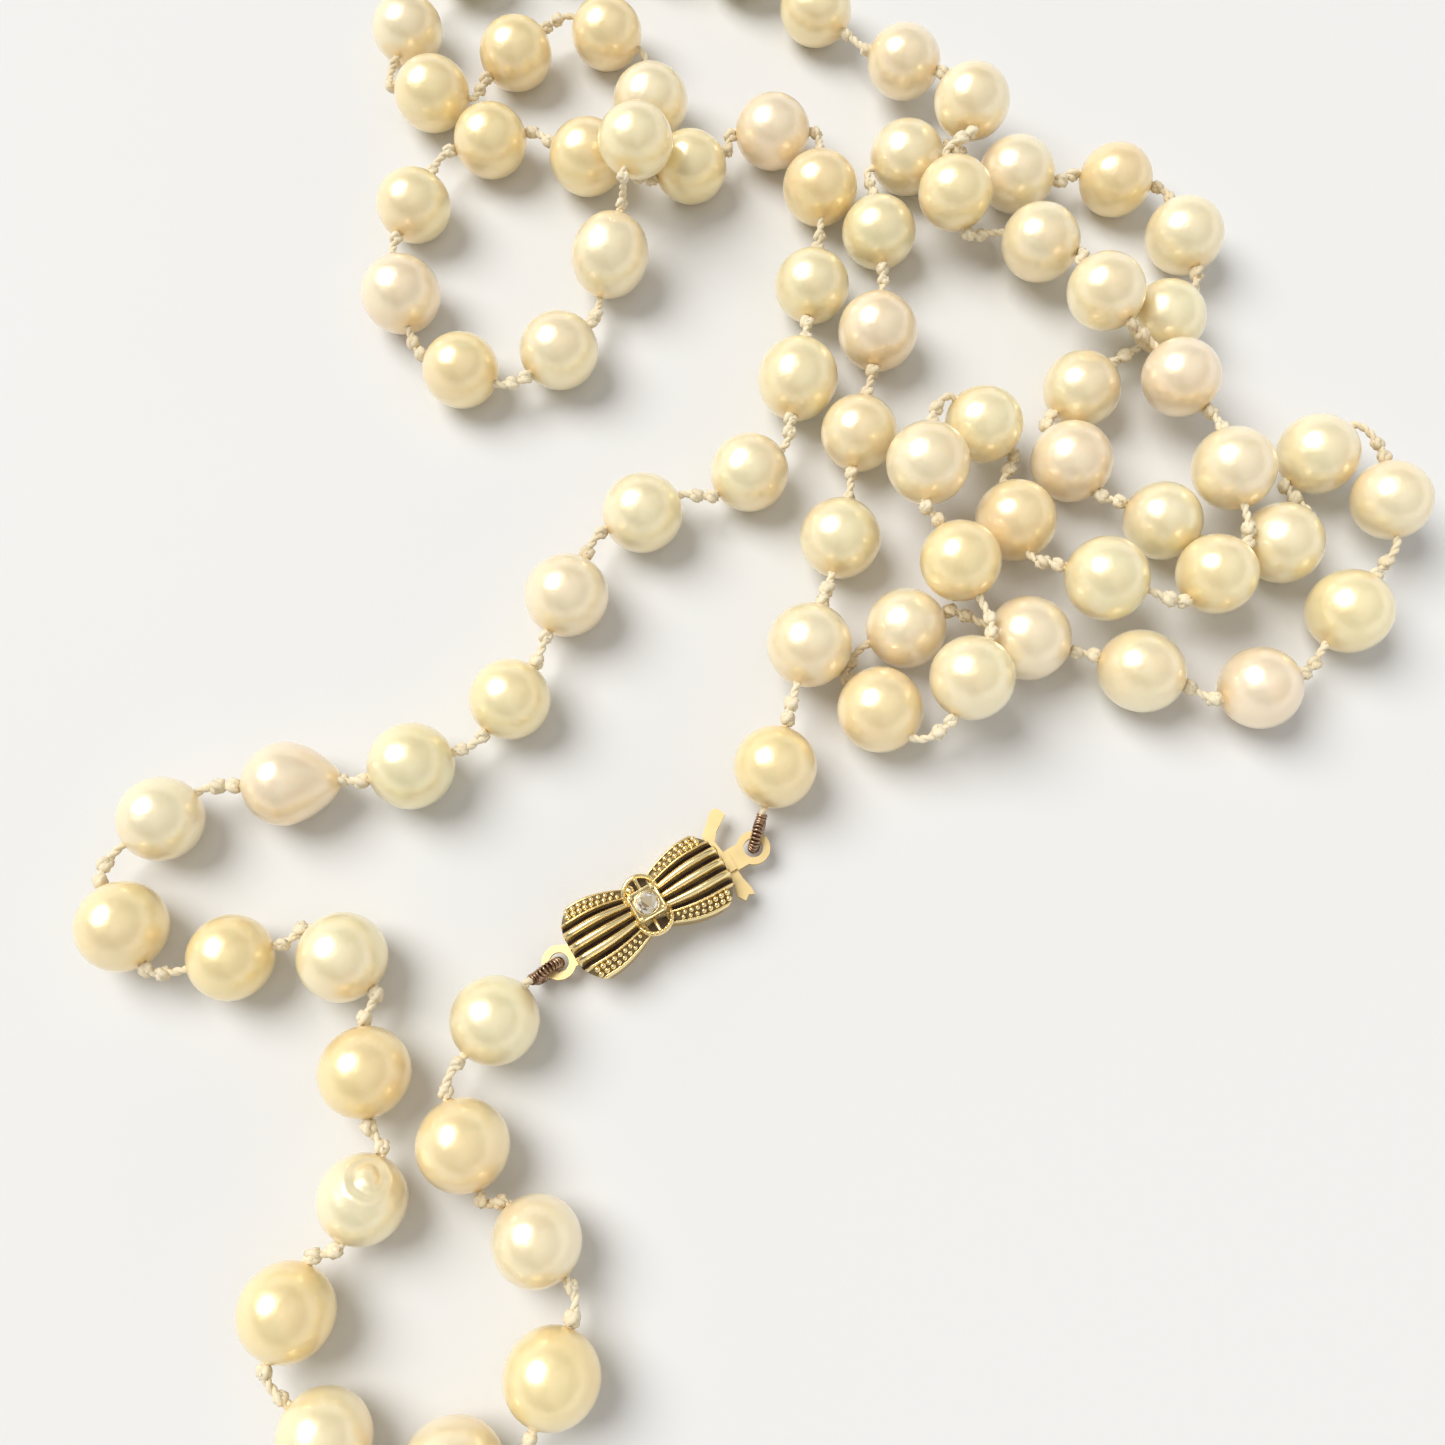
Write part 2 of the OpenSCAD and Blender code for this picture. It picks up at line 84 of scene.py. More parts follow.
class Wire:
    """An output socket that takes part in Python arithmetic."""

    def __init__(self, graph: "Graph", socket: bpy.types.NodeSocket) -> None:
        """Wraps one output socket of a graph."""
        self.graph = graph
        self.socket = socket

    def out(self, name: str) -> "Wire":
        """Another output of the same node."""
        return Wire(self.graph, self.socket.node.outputs[name])

    def _math(self, operation: str, a: Any, b: Any) -> "Wire":
        """Adds one Math node."""
        return self.graph.node("ShaderNodeMath", {"operation": operation}, {0: a, 1: b})

    def __add__(self, other: Any) -> "Wire":
        """Sum."""
        return self._math("ADD", self, other)

    def __sub__(self, other: Any) -> "Wire":
        """Difference."""
        return self._math("SUBTRACT", self, other)

    def __rsub__(self, other: Any) -> "Wire":
        """Difference, with the wire second."""
        return self._math("SUBTRACT", other, self)

    def __mul__(self, other: Any) -> "Wire":
        """Product."""
        return self._math("MULTIPLY", self, other)

    def __truediv__(self, other: Any) -> "Wire":
        """Quotient."""
        return self._math("DIVIDE", self, other)

    def clamped(self) -> "Wire":
        """The value held between 0 and 1."""
        return self.graph.node("ShaderNodeClamp", {}, {0: self, 1: 0.0, 2: 1.0})

    def above(self, low: float, gain: float) -> "Wire":
        """How far the value is above low, times a gain, held between 0 and 1."""
        return ((self - low) * gain).clamped()


class Graph:
    """A node tree of a material or of Geometry Nodes."""

    def __init__(self, tree: bpy.types.NodeTree) -> None:
        """Wraps a tree."""
        self.tree = tree

    def node(self, kind: str, settings: dict[str, Any], sockets: dict[str | int, Any]) -> Wire:
        """Adds a node.

        Args:
            kind: Blender's type of the node.
            settings: Properties to set first; "stops" fills a colour ramp.
            sockets: Values or wires for the inputs, by name or number.

        Returns:
            The node's first output that is switched on.
        """
        made = self.tree.nodes.new(kind)
        for name, value in settings.items():
            if name == "stops":
                self._ramp(made.color_ramp, value)
            else:
                setattr(made, name, value)
        for key, value in sockets.items():
            target = made.inputs[key]
            if isinstance(value, Wire):
                self.tree.links.new(value.socket, target)
            else:
                target.default_value = value
        shown = [o for o in made.outputs if o.enabled]
        return Wire(self, shown[0] if shown else None)

    @staticmethod
    def _ramp(ramp: bpy.types.ColorRamp, stops: Stops) -> None:
        """Fills a colour ramp.

        Args:
            ramp: The ramp.
            stops: Place and colour of each stop.
        """
        while len(ramp.elements) < len(stops):
            ramp.elements.new(0.5)
        for element, (place, colour) in zip(ramp.elements, stops):
            element.position = place
            element.color = (*colour, 1.0)

    def blend(self, share: Wire, a: Wire | Colour, b: Wire | Colour) -> Wire:
        """Mixes two colours.

        Args:
            share: How much of b shows.
            a: First colour, as a wire or three numbers.
            b: Second colour.

        Returns:
            The mixed colour.
        """
        colours = [c if isinstance(c, Wire) else (*c, 1.0) for c in (a, b)]
        sockets = {0: share, 6: colours[0], 7: colours[1]}
        made = self.node("ShaderNodeMix", {"data_type": "RGBA"}, sockets)
        return Wire(self, made.socket.node.outputs[2])


class GeometryTree(Graph):
    """A Geometry Nodes tree with named inputs."""

    def __init__(self, name: str, inputs: Sequence[tuple[str, str]]) -> None:
        """Makes the tree with a geometry input and output, and the named inputs.

        Args:
            name: Name of the tree.
            inputs: Label and type of each named input.
        """
        tree = bpy.data.node_groups.new(name, "GeometryNodeTree")
        super().__init__(tree)
        faces = tree.interface
        faces.new_socket("Geometry", in_out="OUTPUT", socket_type="NodeSocketGeometry")
        self.keys: dict[str, str] = {}
        for label, kind in [("Geometry", "Geometry"), *inputs]:
            made = faces.new_socket(label, in_out="INPUT", socket_type=f"NodeSocket{kind}")
            self.keys[label] = made.identifier
        self.start = self.node("NodeGroupInput", {}, {})

    def given(self, name: str) -> Wire:
        """The named input."""
        return self.start.out(name)

    def finish(self, geometry: Wire) -> None:
        """Realizes, smooths and dresses the geometry and sends it out.

        Args:
            geometry: What the tree has made.
        """
        real = self.node("GeometryNodeRealizeInstances", {}, {0: geometry})
        smooth = self.node("GeometryNodeSetShadeSmooth", {}, {0: real})
        dressed = self.node("GeometryNodeSetMaterial", {}, {0: smooth, 2: self.given("Finish")})
        self.node("NodeGroupOutput", {}, {0: dressed})

    def attribute(self, name: str, kind: str) -> Wire:
        """A named attribute of the incoming points."""
        return self.node("GeometryNodeInputNamedAttribute", {"data_type": kind}, {0: name})

    def placed(self, instance: Wire) -> Wire:
        """Puts an instance on each incoming point, turned and sized by the points' attributes.

        Args:
            instance: The shape that is repeated.

        Returns:
            The instances.
        """
        angles = self.attribute("turn", "FLOAT_VECTOR")
        turn = self.node("FunctionNodeEulerToRotation", {}, {0: angles})
        return self.node("GeometryNodeInstanceOnPoints", {}, {
            "Points": self.given("Geometry"), "Instance": instance,
            "Rotation": turn, "Scale": self.attribute("size", "FLOAT_VECTOR"),
        })

    def grow(self, source: bpy.types.Mesh, name: str, values: dict[str, Any]) -> bpy.types.Mesh:
        """Runs the tree on a mesh.

        Args:
            source: Points or paths that the tree reads.
            name: Name of the new mesh.
            values: Values of the named inputs.

        Returns:
            The result as a plain mesh.
        """
        carrier = bpy.data.objects.new(f"{name}_carrier", source)
        bpy.context.scene.collection.objects.link(carrier)
        modifier = carrier.modifiers.new("grow", "NODES")
        modifier.node_group = self.tree
        for label, value in values.items():
            modifier[self.keys[label]] = value
        seen = carrier.evaluated_get(bpy.context.evaluated_depsgraph_get())
        mesh = bpy.data.meshes.new_from_object(seen)
        mesh.name = name
        bpy.data.objects.remove(carrier)
        bpy.data.meshes.remove(source)
        return mesh


# Finishes


class Finish:
    """A material in the making, with the sockets that may change over the surface."""

    def __init__(self, name: str, fixed: dict[str, Any]) -> None:
        """Makes the material and sets what is the same all over it.

        Args:
            name: Name of the material.
            fixed: Values of the shader's sockets, by name.
        """
        self.material = bpy.data.materials.new(name)
        self.material.use_nodes = True
        self.graph = Graph(self.material.node_tree)
        self.shader = self.material.node_tree.nodes["Principled BSDF"]
        for socket, value in fixed.items():
            self.shader.inputs[socket].default_value = value
        self.place = self.graph.node("ShaderNodeTexCoord", {}, {}).out("Object")

    def noise(self, scale: float, detail: float = 2.0) -> Wire:
        """Noise over the object's own coordinates."""
        sockets = {"Vector": self.place, "Scale": scale, "Detail": detail}
        return self.graph.node("ShaderNodeTexNoise", {}, sockets)

    def attribute(self, name: str) -> Wire:
        """A number stored on the mesh."""
        return self.graph.node("ShaderNodeAttribute", {"attribute_name": name}, {}).out("Fac")

    def ramp(self, value: Wire, stops: Stops) -> Wire:
        """A colour ramp."""
        return self.graph.node("ShaderNodeValToRGB", {"stops": stops}, {0: value})

    def feed(self, socket: str, wire: Wire) -> None:
        """Links a wire to one of the shader's sockets."""
        self.material.node_tree.links.new(wire.socket, self.shader.inputs[socket])

    def bump(self, height: Wire, strength: float, distance: float) -> None:
        """Feeds a bump to the shader's normal."""
        sockets = {"Height": height, "Strength": strength, "Distance": distance}
        self.feed("Normal", self.graph.node("ShaderNodeBump", {}, sockets))


@dataclass(frozen=True)
class Nacre:
    """Lustrous nacre, from golden cream through ivory to rosy and greenish cream."""

    shades: tuple[tuple[float, Colour], ...] = (
        (0.0, (0.98, 0.79, 0.41)),
        (0.2, (0.98, 0.82, 0.46)),
        (0.45, (0.98, 0.88, 0.57)),
        (0.7, (0.98, 0.86, 0.58)),
        (0.88, (0.98, 0.82, 0.59)),
        (1.0, (0.93, 0.86, 0.52)),
    )
    blush: Colour = (0.98, 0.78, 0.60)
    deep: Colour = (0.86, 0.57, 0.17)
    lustre: float = 0.28
    roughness: float = 0.28
    inner_glow: float = 0.2
    glow_reach: Colour = (1.0, 0.6, 0.25)
    index: float = 1.6
    coat: float = 1.15
    coat_loss: float = 0.5
    coat_roughness: float = 0.18
    blush_share: float = 0.55
    cloud_share: float = 0.9
    stain_share: float = 0.55
    patch_scale: float = 130.0
    cloud_scale: float = 260.0
    ripple_scale: float = 520.0
    fine_scale: float = 1400.0
    drill_edge: float = 0.86
    uneven: float = 0.34

    def build(self) -> bpy.types.Material:
        """Builds the finish.

        Returns:
            The material.
        """
        finish = Finish("nacre", {
            "Subsurface Weight": self.inner_glow, "Subsurface Radius": self.glow_reach,
            "Subsurface Scale": MM, "Coat Roughness": self.coat_roughness, "Coat IOR": self.index,
            "IOR": self.index, "Metallic": self.lustre,
        })
        graph = finish.graph
        body = finish.ramp(finish.attribute("tint"), self.shades)
        cloud = finish.noise(self.cloud_scale, 3.0)
        patch = finish.noise(self.patch_scale, 1.0)
        blushed = graph.blend(patch.above(0.4, 2.2) * self.blush_share, body, self.blush)
        clouded = graph.blend((cloud - 0.45).clamped() * self.cloud_share, blushed, self.deep)
        drilled = finish.attribute("pole").above(self.drill_edge, 6.0)
        finish.feed("Base Color", graph.blend(drilled * self.stain_share, clouded, self.deep))
        fine = finish.noise(self.fine_scale, 4.0)
        finish.feed("Roughness", fine * 0.08 + self.roughness)
        finish.feed("Coat Weight", self.coat - cloud * self.coat_loss)
        ripple = finish.noise(self.ripple_scale, 2.0)
        finish.bump(fine * 0.25 + cloud + patch + ripple * 0.5, self.uneven, 0.3 * MM)
        return finish.material


@dataclass(frozen=True)
class SilkThread:
    """Cream silk, browner where it has been handled."""

    cream: Colour = (0.88, 0.79, 0.58)
    worn: Colour = (0.60, 0.46, 0.26)
    roughness: float = 0.6
    fibre_share: float = 0.2
    handled_scale: float = 170.0
    fibre_scale: float = 5200.0

    def build(self) -> bpy.types.Material:
        """Builds the finish.

        Returns:
            The material.
        """
        finish = Finish("silk", {
            "Sheen Weight": 0.35, "Sheen Roughness": 0.45, "Sheen Tint": (1.0, 0.95, 0.85, 1.0),
            "IOR": 1.4,
        })
        handled = finish.noise(self.handled_scale)
        fibres = finish.noise(self.fibre_scale, 3.0)
        colour = finish.graph.blend(handled.above(0.5, 2.2), self.cream, self.worn)
        finish.feed("Base Color", finish.graph.blend(fibres * self.fibre_share, colour, self.worn))
        finish.feed("Roughness", fibres * 0.25 + self.roughness)
        finish.bump(fibres, 0.35, 0.08 * MM)
        return finish.material


@dataclass(frozen=True)
class Gold:
    """Polished yellow gold, with painted shade darkening its hollows and recesses."""

    name: str = "gold"
    bright: Colour = (1.0, 0.83, 0.44)
    warm: Colour = (0.95, 0.70, 0.30)
    # colour of the painted shade
    hollow: Colour = (0.035, 0.009, 0.006)
    rub: float = 0.1
    roughness: float = 0.16
    # whether the finish paints shade into the hollows
    paints_shade: bool = True
    rub_scale: float = 900.0
    polish_scale: float = 2600.0

    def build(self) -> bpy.types.Material:
        """Builds the finish.

        Returns:
            The material.
        """
        finish = Finish(self.name, {"IOR": 1.45, "Coat Roughness": 0.08})
        rubbed = finish.noise(self.rub_scale, 4.0)
        tone = finish.graph.blend(rubbed * 0.35, self.bright, self.warm)
        roughness = rubbed * self.rub + self.roughness
        if self.paints_shade:
            # painted shade: the gold turns dark, rougher and less metallic where the mesh marks a
            # hollow or recess
            painted_shade_share = (finish.attribute("hollow") + (rubbed - 0.5) * 0.3).clamped()
            tone = finish.graph.blend(painted_shade_share, tone, self.hollow)
            roughness = roughness + painted_shade_share * 0.35
            finish.feed("Metallic", 1.0 - painted_shade_share * 0.8)
        else:
            finish.shader.inputs["Metallic"].default_value = 1.0
        finish.feed("Base Color", tone)
        finish.feed("Roughness", roughness)
        finish.bump(finish.noise(self.polish_scale), 0.06, 0.04 * MM)
        return finish.material


@dataclass(frozen=True)
class GimpWire:
    """Fine coiled wire, gone coppery brown."""

    brown: Colour = (0.16, 0.085, 0.05)
    copper: Colour = (0.72, 0.50, 0.33)
    wear_scale: float = 1500.0

    def build(self) -> bpy.types.Material:
        """Builds the finish.

        Returns:
            The material.
        """
        finish = Finish("gimp", {"IOR": 1.5})
        worn = finish.noise(self.wear_scale, 3.0)
        finish.feed("Base Color", finish.graph.blend(worn.above(0.35, 2.2), self.brown, self.copper))
        finish.feed("Metallic", worn * 0.3 + 0.7)
        finish.feed("Roughness", 0.40 - worn * 0.3)
        return finish.material


@dataclass(frozen=True)
class CutStone:
    """Old-cut stone over closed gold, with painted reflections on its facets: white, champagne and
    brown.
    """

    # colours of the painted reflections on the facets
    fire: tuple[tuple[float, Colour], ...] = (
        (0.0, (0.30, 0.17, 0.07)),
        (0.35, (0.80, 0.64, 0.36)),
        (0.65, (0.95, 0.90, 0.76)),
        (1.0, (1.0, 0.99, 0.96)),
    )
    smear_scale: float = 3000.0

    def build(self) -> bpy.types.Material:
        """Builds the finish.

        Returns:
            The material.
        """
        finish = Finish("stone", {
            "Transmission Weight": 0.3, "IOR": 2.2, "Metallic": 0.35, "Coat Weight": 0.5})
        # painted reflections: each facet's colour stands for the light or the gold that it mirrors
        finish.feed("Base Color", finish.ramp(finish.attribute("fire"), self.fire))
        finish.feed("Roughness", finish.noise(self.smear_scale) * 0.04 + 0.02)
        return finish.material


# Layout of the strand, in millimetres


@dataclass(frozen=True)
class Stretch:
    """A run of pearls that was laid down as one piece of the layout."""

    name: str
    places: tuple[tuple[float, float, float], ...]
    holds_before: bool = False
    holds_after: bool = False
    swings: bool = False
    single: bool = False


STRETCHES: tuple[Stretch, ...] = (
    Stretch("link", (
        (-1.75, -2.45, 0), (-1.95, -3.4, 0), (-1.35, -4.1, 0), (-1.2, -5.05, 0),
        (-1.9, -5.65, 0), (-2.85, -5.45, 0)), swings=True, single=True),
    Stretch("bottom_turn", (
        (-3.2, -4.6, 0), (-2.7, -3.8, 0), (-2.75, -2.85, 0), (-3, -1.95, 0)), True, True),
    Stretch("left_loop", (
        (-3.9, -1.95, 0), (-4.8, -1.7, 0), (-4.6, -0.8, 0), (-3.6, -0.5, 0),
        (-2.55, -0.35, 0)), swings=True, single=True),
    Stretch("rise", (
        (-1.75, 0.25, 0), (-1.3, 1.2, 0), (-0.65, 2, 0), (0.3, 2.4, 0),
        (0.75, 3.35, 0), (0.9, 4.35, 0), (1, 5.45, 0)), True, True),
    Stretch("top_row", (
        (0.55, 6.1, 0), (-0.25, 5.7, 0), (-1.25, 5.8, 0), (-2.2, 6, 0)), False, True),
    Stretch("top_loop", (
        (-2.9, 5.25, 0), (-2.95, 4.25, 0), (-2.35, 3.45, 0), (-1.45, 3.65, 0),
        (-1, 4.65, 0.05)), swings=True, single=True),
    Stretch("top_turn", (
        (-0.75, 5.55, 0.55), (-0.65, 6.45, 0), (-1.1, 7.3, 0), (-2, 7.05, 0),
        (-2.8, 6.55, 0)), True, True),
    Stretch("far_run", (
        (-3.1, 7.35, 0), (-2.55, 8.25, 0), (-1.65, 8.6, 0), (-0.65, 8.6, 0),
        (0.25, 8.25, 0), (1, 7.6, 0)), swings=True),
    Stretch("right_fall", (
        (1.85, 6.85, 0.1), (2.45, 6.2, 0.3), (2.25, 5.2, 0.25), (3.05, 4.75, 0.1),
        (3.55, 4.05, 0.35), (4.2, 3.25, 0.2), (4.55, 2.3, 0.25), (4.3, 1.3, 0.25),
        (3.35, 1.25, 0.25), (2.65, 1.9, 0.05), (2.4, 2.8, 0.15)), True, True),
    Stretch("inner_loop", (
        (1.85, 2.3, 0.35), (2.1, 1.4, 0.3), (2.15, 0.35, 0.25), (1.4, 0.15, 0),
        (1.65, 0.9, 0), (2.7, 0.8, 0)), False, True),
    Stretch("outer_loop", (
        (3.65, 0.5, 0), (4.65, 0.35, 0), (5.5, 1.05, 0), (5.95, 2.05, 0.15),
        (5.4, 2.55, 0.05), (5, 1.7, 0)), False, True),
    Stretch("right_rise", (
        (3.95, 1.9, 0.05), (3.2, 2.5, 0), (3.35, 3.25, 0), (4.2, 4, 0),
        (4.45, 4.9, 0), (3.85, 5.55, 0), (2.9, 5.6, 0)), False, True),
    Stretch("last_run", (
        (1.85, 5.8, 0), (1.55, 4.95, 0), (1.5, 3.85, 0), (1.3, 2.8, 0),
        (1.1, 1.75, 0), (0.8, 0.7, 0.1), (0.5, -0.35, 0))),
)


def unit(v: Point) -> Point:
    """The vector at length 1."""
    return v / np.linalg.norm(v)


@dataclass
class Layout:
    """Where every pearl, bend and hinge of the strand lies."""

    pearl_d: float = 6.5
    spread: float = 0.03
    gap: float = 2.6
    knot_r: float = 0.575
    knot_seat: float = 0.12
    stub: float = 0.42
    drop: int = 13
    drop_point: float = 2.2
    ovals: dict[int, float] = field(
        default_factory=lambda: {4: 1.08, 19: 1.07, 30: 1.12, 41: 1.06, 59: 1.06})
    golden_angle: float = 137.5
    clasp_place: tuple[float, float] = (-5.0, -13.9)
    clasp_turn: float = 31.0
    eye_z: float = 1.45
    case_eye: float = 7.7
    tongue_eye: float = 9.2
    passes: int = 6

    def __post_init__(self) -> None:
        """Works out centres, drill directions and bends."""
        pitch = self.pearl_d + self.gap
        raw = np.array([p for s in STRETCHES for p in s.places], dtype=float)
        self.count = len(raw)
        waves = np.array([math.sin(math.radians(i * self.golden_angle)) for i in range(self.count)])
        self.radii = self.pearl_d / 2 * (1 + self.spread * waves)
        flat = raw[:, :2] * pitch
        low = (flat - self.radii[:, None]).min(axis=0)
        high = (flat + self.radii[:, None]).max(axis=0)
        self.middle = (low + high) / 2
        self.centres = np.column_stack([flat - self.middle, self.radii + raw[:, 2] * pitch])
        self.clasp = np.array(self.clasp_place) - self.middle
        turn = math.radians(self.clasp_turn)
        self.clasp_way = np.array([math.cos(turn), math.sin(turn), 0.0])
        self.owner = [k for k, s in enumerate(STRETCHES) for _ in s.places]
        self.first = [self.owner.index(k) for k in range(len(STRETCHES))]
        self.drills = self._eased()

    def eye(self, along: float) -> Point:
        """Middle of an eyelet's hole at a distance along the clasp."""
        return np.array([*self.clasp, self.eye_z]) + self.clasp_way * along

    def last(self, k: int) -> int:
        """Number of the last pearl of stretch k."""
        return self.first[k] + len(STRETCHES[k].places) - 1

    def half(self, i: int, out: bool) -> float:
        """Distance from the centre of a pearl to one of its poles.

        Args:
            i: Number of the pearl.
            out: True for the pole towards the next pearl.

        Returns:
            The distance in millimetres.
        """
        if i == self.drop and out:
            return self.radii[i] + self.drop_point / 2
        return self.radii[i] * self.ovals.get(i, 1.0)

    def hinged(self, i: int, out: bool) -> bool:
        """Whether a pearl swings on the knot at one of its poles.

        Args:
            i: Number of the pearl.
            out: True for the pole towards the next pearl.

        Returns:
            True where that knot is a hinge.
        """
        k = self.owner[i]
        if not STRETCHES[k].swings:
            return False
        if k == 0:
            return out
        return i == (self.last(k) if out else self.first[k])

    def reach(self, i: int, out: bool) -> float:
        """Distance from the centre of pearl i to the bend beyond its pole."""
        beyond = self.knot_seat + self.knot_r if self.hinged(i, out) else self.stub
        return self.half(i, out) + beyond

    def _eased(self) -> np.ndarray:
        """Eases the drill directions so that the thread runs short.

        Returns:
            One direction for each pearl.
        """
        ends = [self.eye(-self.case_eye), *self.centres, self.eye(self.tongue_eye)]
        drills = np.array([unit(ends[i + 2] - ends[i]) for i in range(self.count)])
        for _ in range(self.passes):
            outs = [ends[0]]
            outs += [self.centres[i] + drills[i] * self.reach(i, True) for i in range(self.count)]
            ins = [self.centres[i] - drills[i] * self.reach(i, False) for i in range(self.count)]
            ins.append(ends[-1])
            drills = np.array([
                unit(drills[i] + unit(ins[i + 1] - outs[i])) for i in range(self.count)])
        return drills

    def pole(self, i: int, out: bool, inside: float = 0.0) -> Point:
        """The pole of pearl i, or a point that far inside it."""
        return self.centres[i] + (1 if out else -1) * self.drills[i] * (self.half(i, out) - inside)

    def bend(self, i: int, out: bool) -> Point:
        """The bend, or the hinge, beyond a pole of pearl i."""
        return self.centres[i] + (1 if out else -1) * self.drills[i] * self.reach(i, out)


# Meshes


def new_piece(mesh: bpy.types.Mesh, name: str, body: str, node: str) -> None:
    """Makes a finished piece of a mesh, hangs it on the body that carries it and hides the
    construction node that it stands for.

    Args:
        mesh: The mesh, in metres.
        name: Name of the piece.
        body: Body that carries it.
        node: Construction node that it stands for.
    """
    piece = bpy.data.objects.new(name, mesh)
    mesh.name = name
    bpy.context.scene.collection.objects.link(piece)
    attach(piece, body)
    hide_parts(node)
    LOG.info("%s: %d faces on %s", name, len(mesh.polygons), body)


def turn_to(way: Point, spin: float = 0.0) -> tuple[float, float, float]:
    """Euler angles that bring Z to lie along way, after a spin about Z."""
    track = Vector(way).to_track_quat("Z", "Y").to_matrix()
    return tuple((track @ Matrix.Rotation(spin, 3, "Z")).to_euler())


def store(mesh: bpy.types.Mesh, name: str, domain: str, values: Sequence[float]) -> None:
    """Stores a number on each point or face of a mesh."""
    mesh.attributes.new(name, "FLOAT", domain).data.foreach_set("value", values)


def marks(spots: Sequence[Spot]) -> bpy.types.Mesh:
    """Points for a scatter tree.

    Args:
        spots: Place in millimetres, turn, size in millimetres and tint of each point.

    Returns:
        A mesh of loose points with those attributes.
    """
    mesh = bpy.data.meshes.new("marks")
    mesh.from_pydata([tuple(s[0] * MM) for s in spots], [], [])
    for name, column, scale in (("turn", 1, 1.0), ("size", 2, MM)):
        layer = mesh.attributes.new(name, "FLOAT_VECTOR", "POINT")
        layer.data.foreach_set("vector", [v * scale for s in spots for v in s[column]])
    store(mesh, "tint", "POINT", [s[3] for s in spots])
    return mesh


def paths(lines: Iterable[np.ndarray]) -> bpy.types.Mesh:
    """A mesh of open polylines.

    Args:
        lines: Points of each line, in millimetres.

    Returns:
        The mesh, in metres.
    """
    places: list[tuple[float, ...]] = []
    edges: list[tuple[int, int]] = []
    for line in lines:
        start = len(places)
        places += [tuple(p * MM) for p in line]
        edges += [(j, j + 1) for j in range(start, len(places) - 1)]
    mesh = bpy.data.meshes.new("paths")
    mesh.from_pydata(places, edges, [])
    return mesh


def grid_mesh(name: str, rows: list[list[Point]], caps: bool = True) -> bpy.types.Mesh:
    """A mesh of quads between closed rows of points, in millimetres.

    Args:
        name: Name of the mesh.
        rows: Rows of equal length.
        caps: Whether the first and last rows are filled.

    Returns:
        The mesh, with faces pointing outwards.
    """
    made = bmesh.new()
    grid = [[made.verts.new(tuple(p * MM)) for p in row] for row in rows]
    width = len(rows[0])
    for lower, upper in zip(grid, grid[1:]):
        for j in range(width):
            k = (j + 1) % width
            made.faces.new((lower[j], lower[k], upper[k], upper[j]))
    if caps:
        made.faces.new(list(reversed(grid[0])))
        made.faces.new(grid[-1])
    bmesh.ops.recalc_face_normals(made, faces=made.faces)
    mesh = bpy.data.meshes.new(name)
    made.to_mesh(mesh)
    made.free()
    mesh.shade_smooth()
    return mesh


def around(
    spot: Point, way: Point, radius: float, sides: int, hint: Sequence[float],
) -> list[Point]:
    """A ring of points about a place on a path.

    Args:
        spot: The place.
        way: Direction of the path there, at length 1.
        radius: Radius of the ring.
        sides: How many points it has.
        hint: Any direction that isn't along the path, to start the ring from.

    Returns:
        The points, in order.
    """
    across = unit(np.cross(way, hint))
    over = np.cross(way, across)
    turns = [2 * math.pi * q / sides for q in range(sides)]
    return [spot + radius * (math.cos(a) * across + math.sin(a) * over) for a in turns]


def joined(name: str, meshes: Sequence[bpy.types.Mesh]) -> bpy.types.Mesh:
    """Joins several meshes, with their materials and attributes.

    Args:
        name: Name of the new mesh.
        meshes: The meshes; the first one takes in the others.

    Returns:
        The joined mesh.
    """
    things = []
    for mesh in meshes:
        thing = bpy.data.objects.new("part", mesh)
        bpy.context.scene.collection.objects.link(thing)
        things.append(thing)
    chosen = {"selected_objects": things, "selected_editable_objects": things}
    with bpy.context.temp_override(active_object=things[0], object=things[0], **chosen):
        bpy.ops.object.join()
    mesh = things[0].data
    mesh.name = name
    bpy.data.objects.remove(things[0])
    return mesh


# Pearls


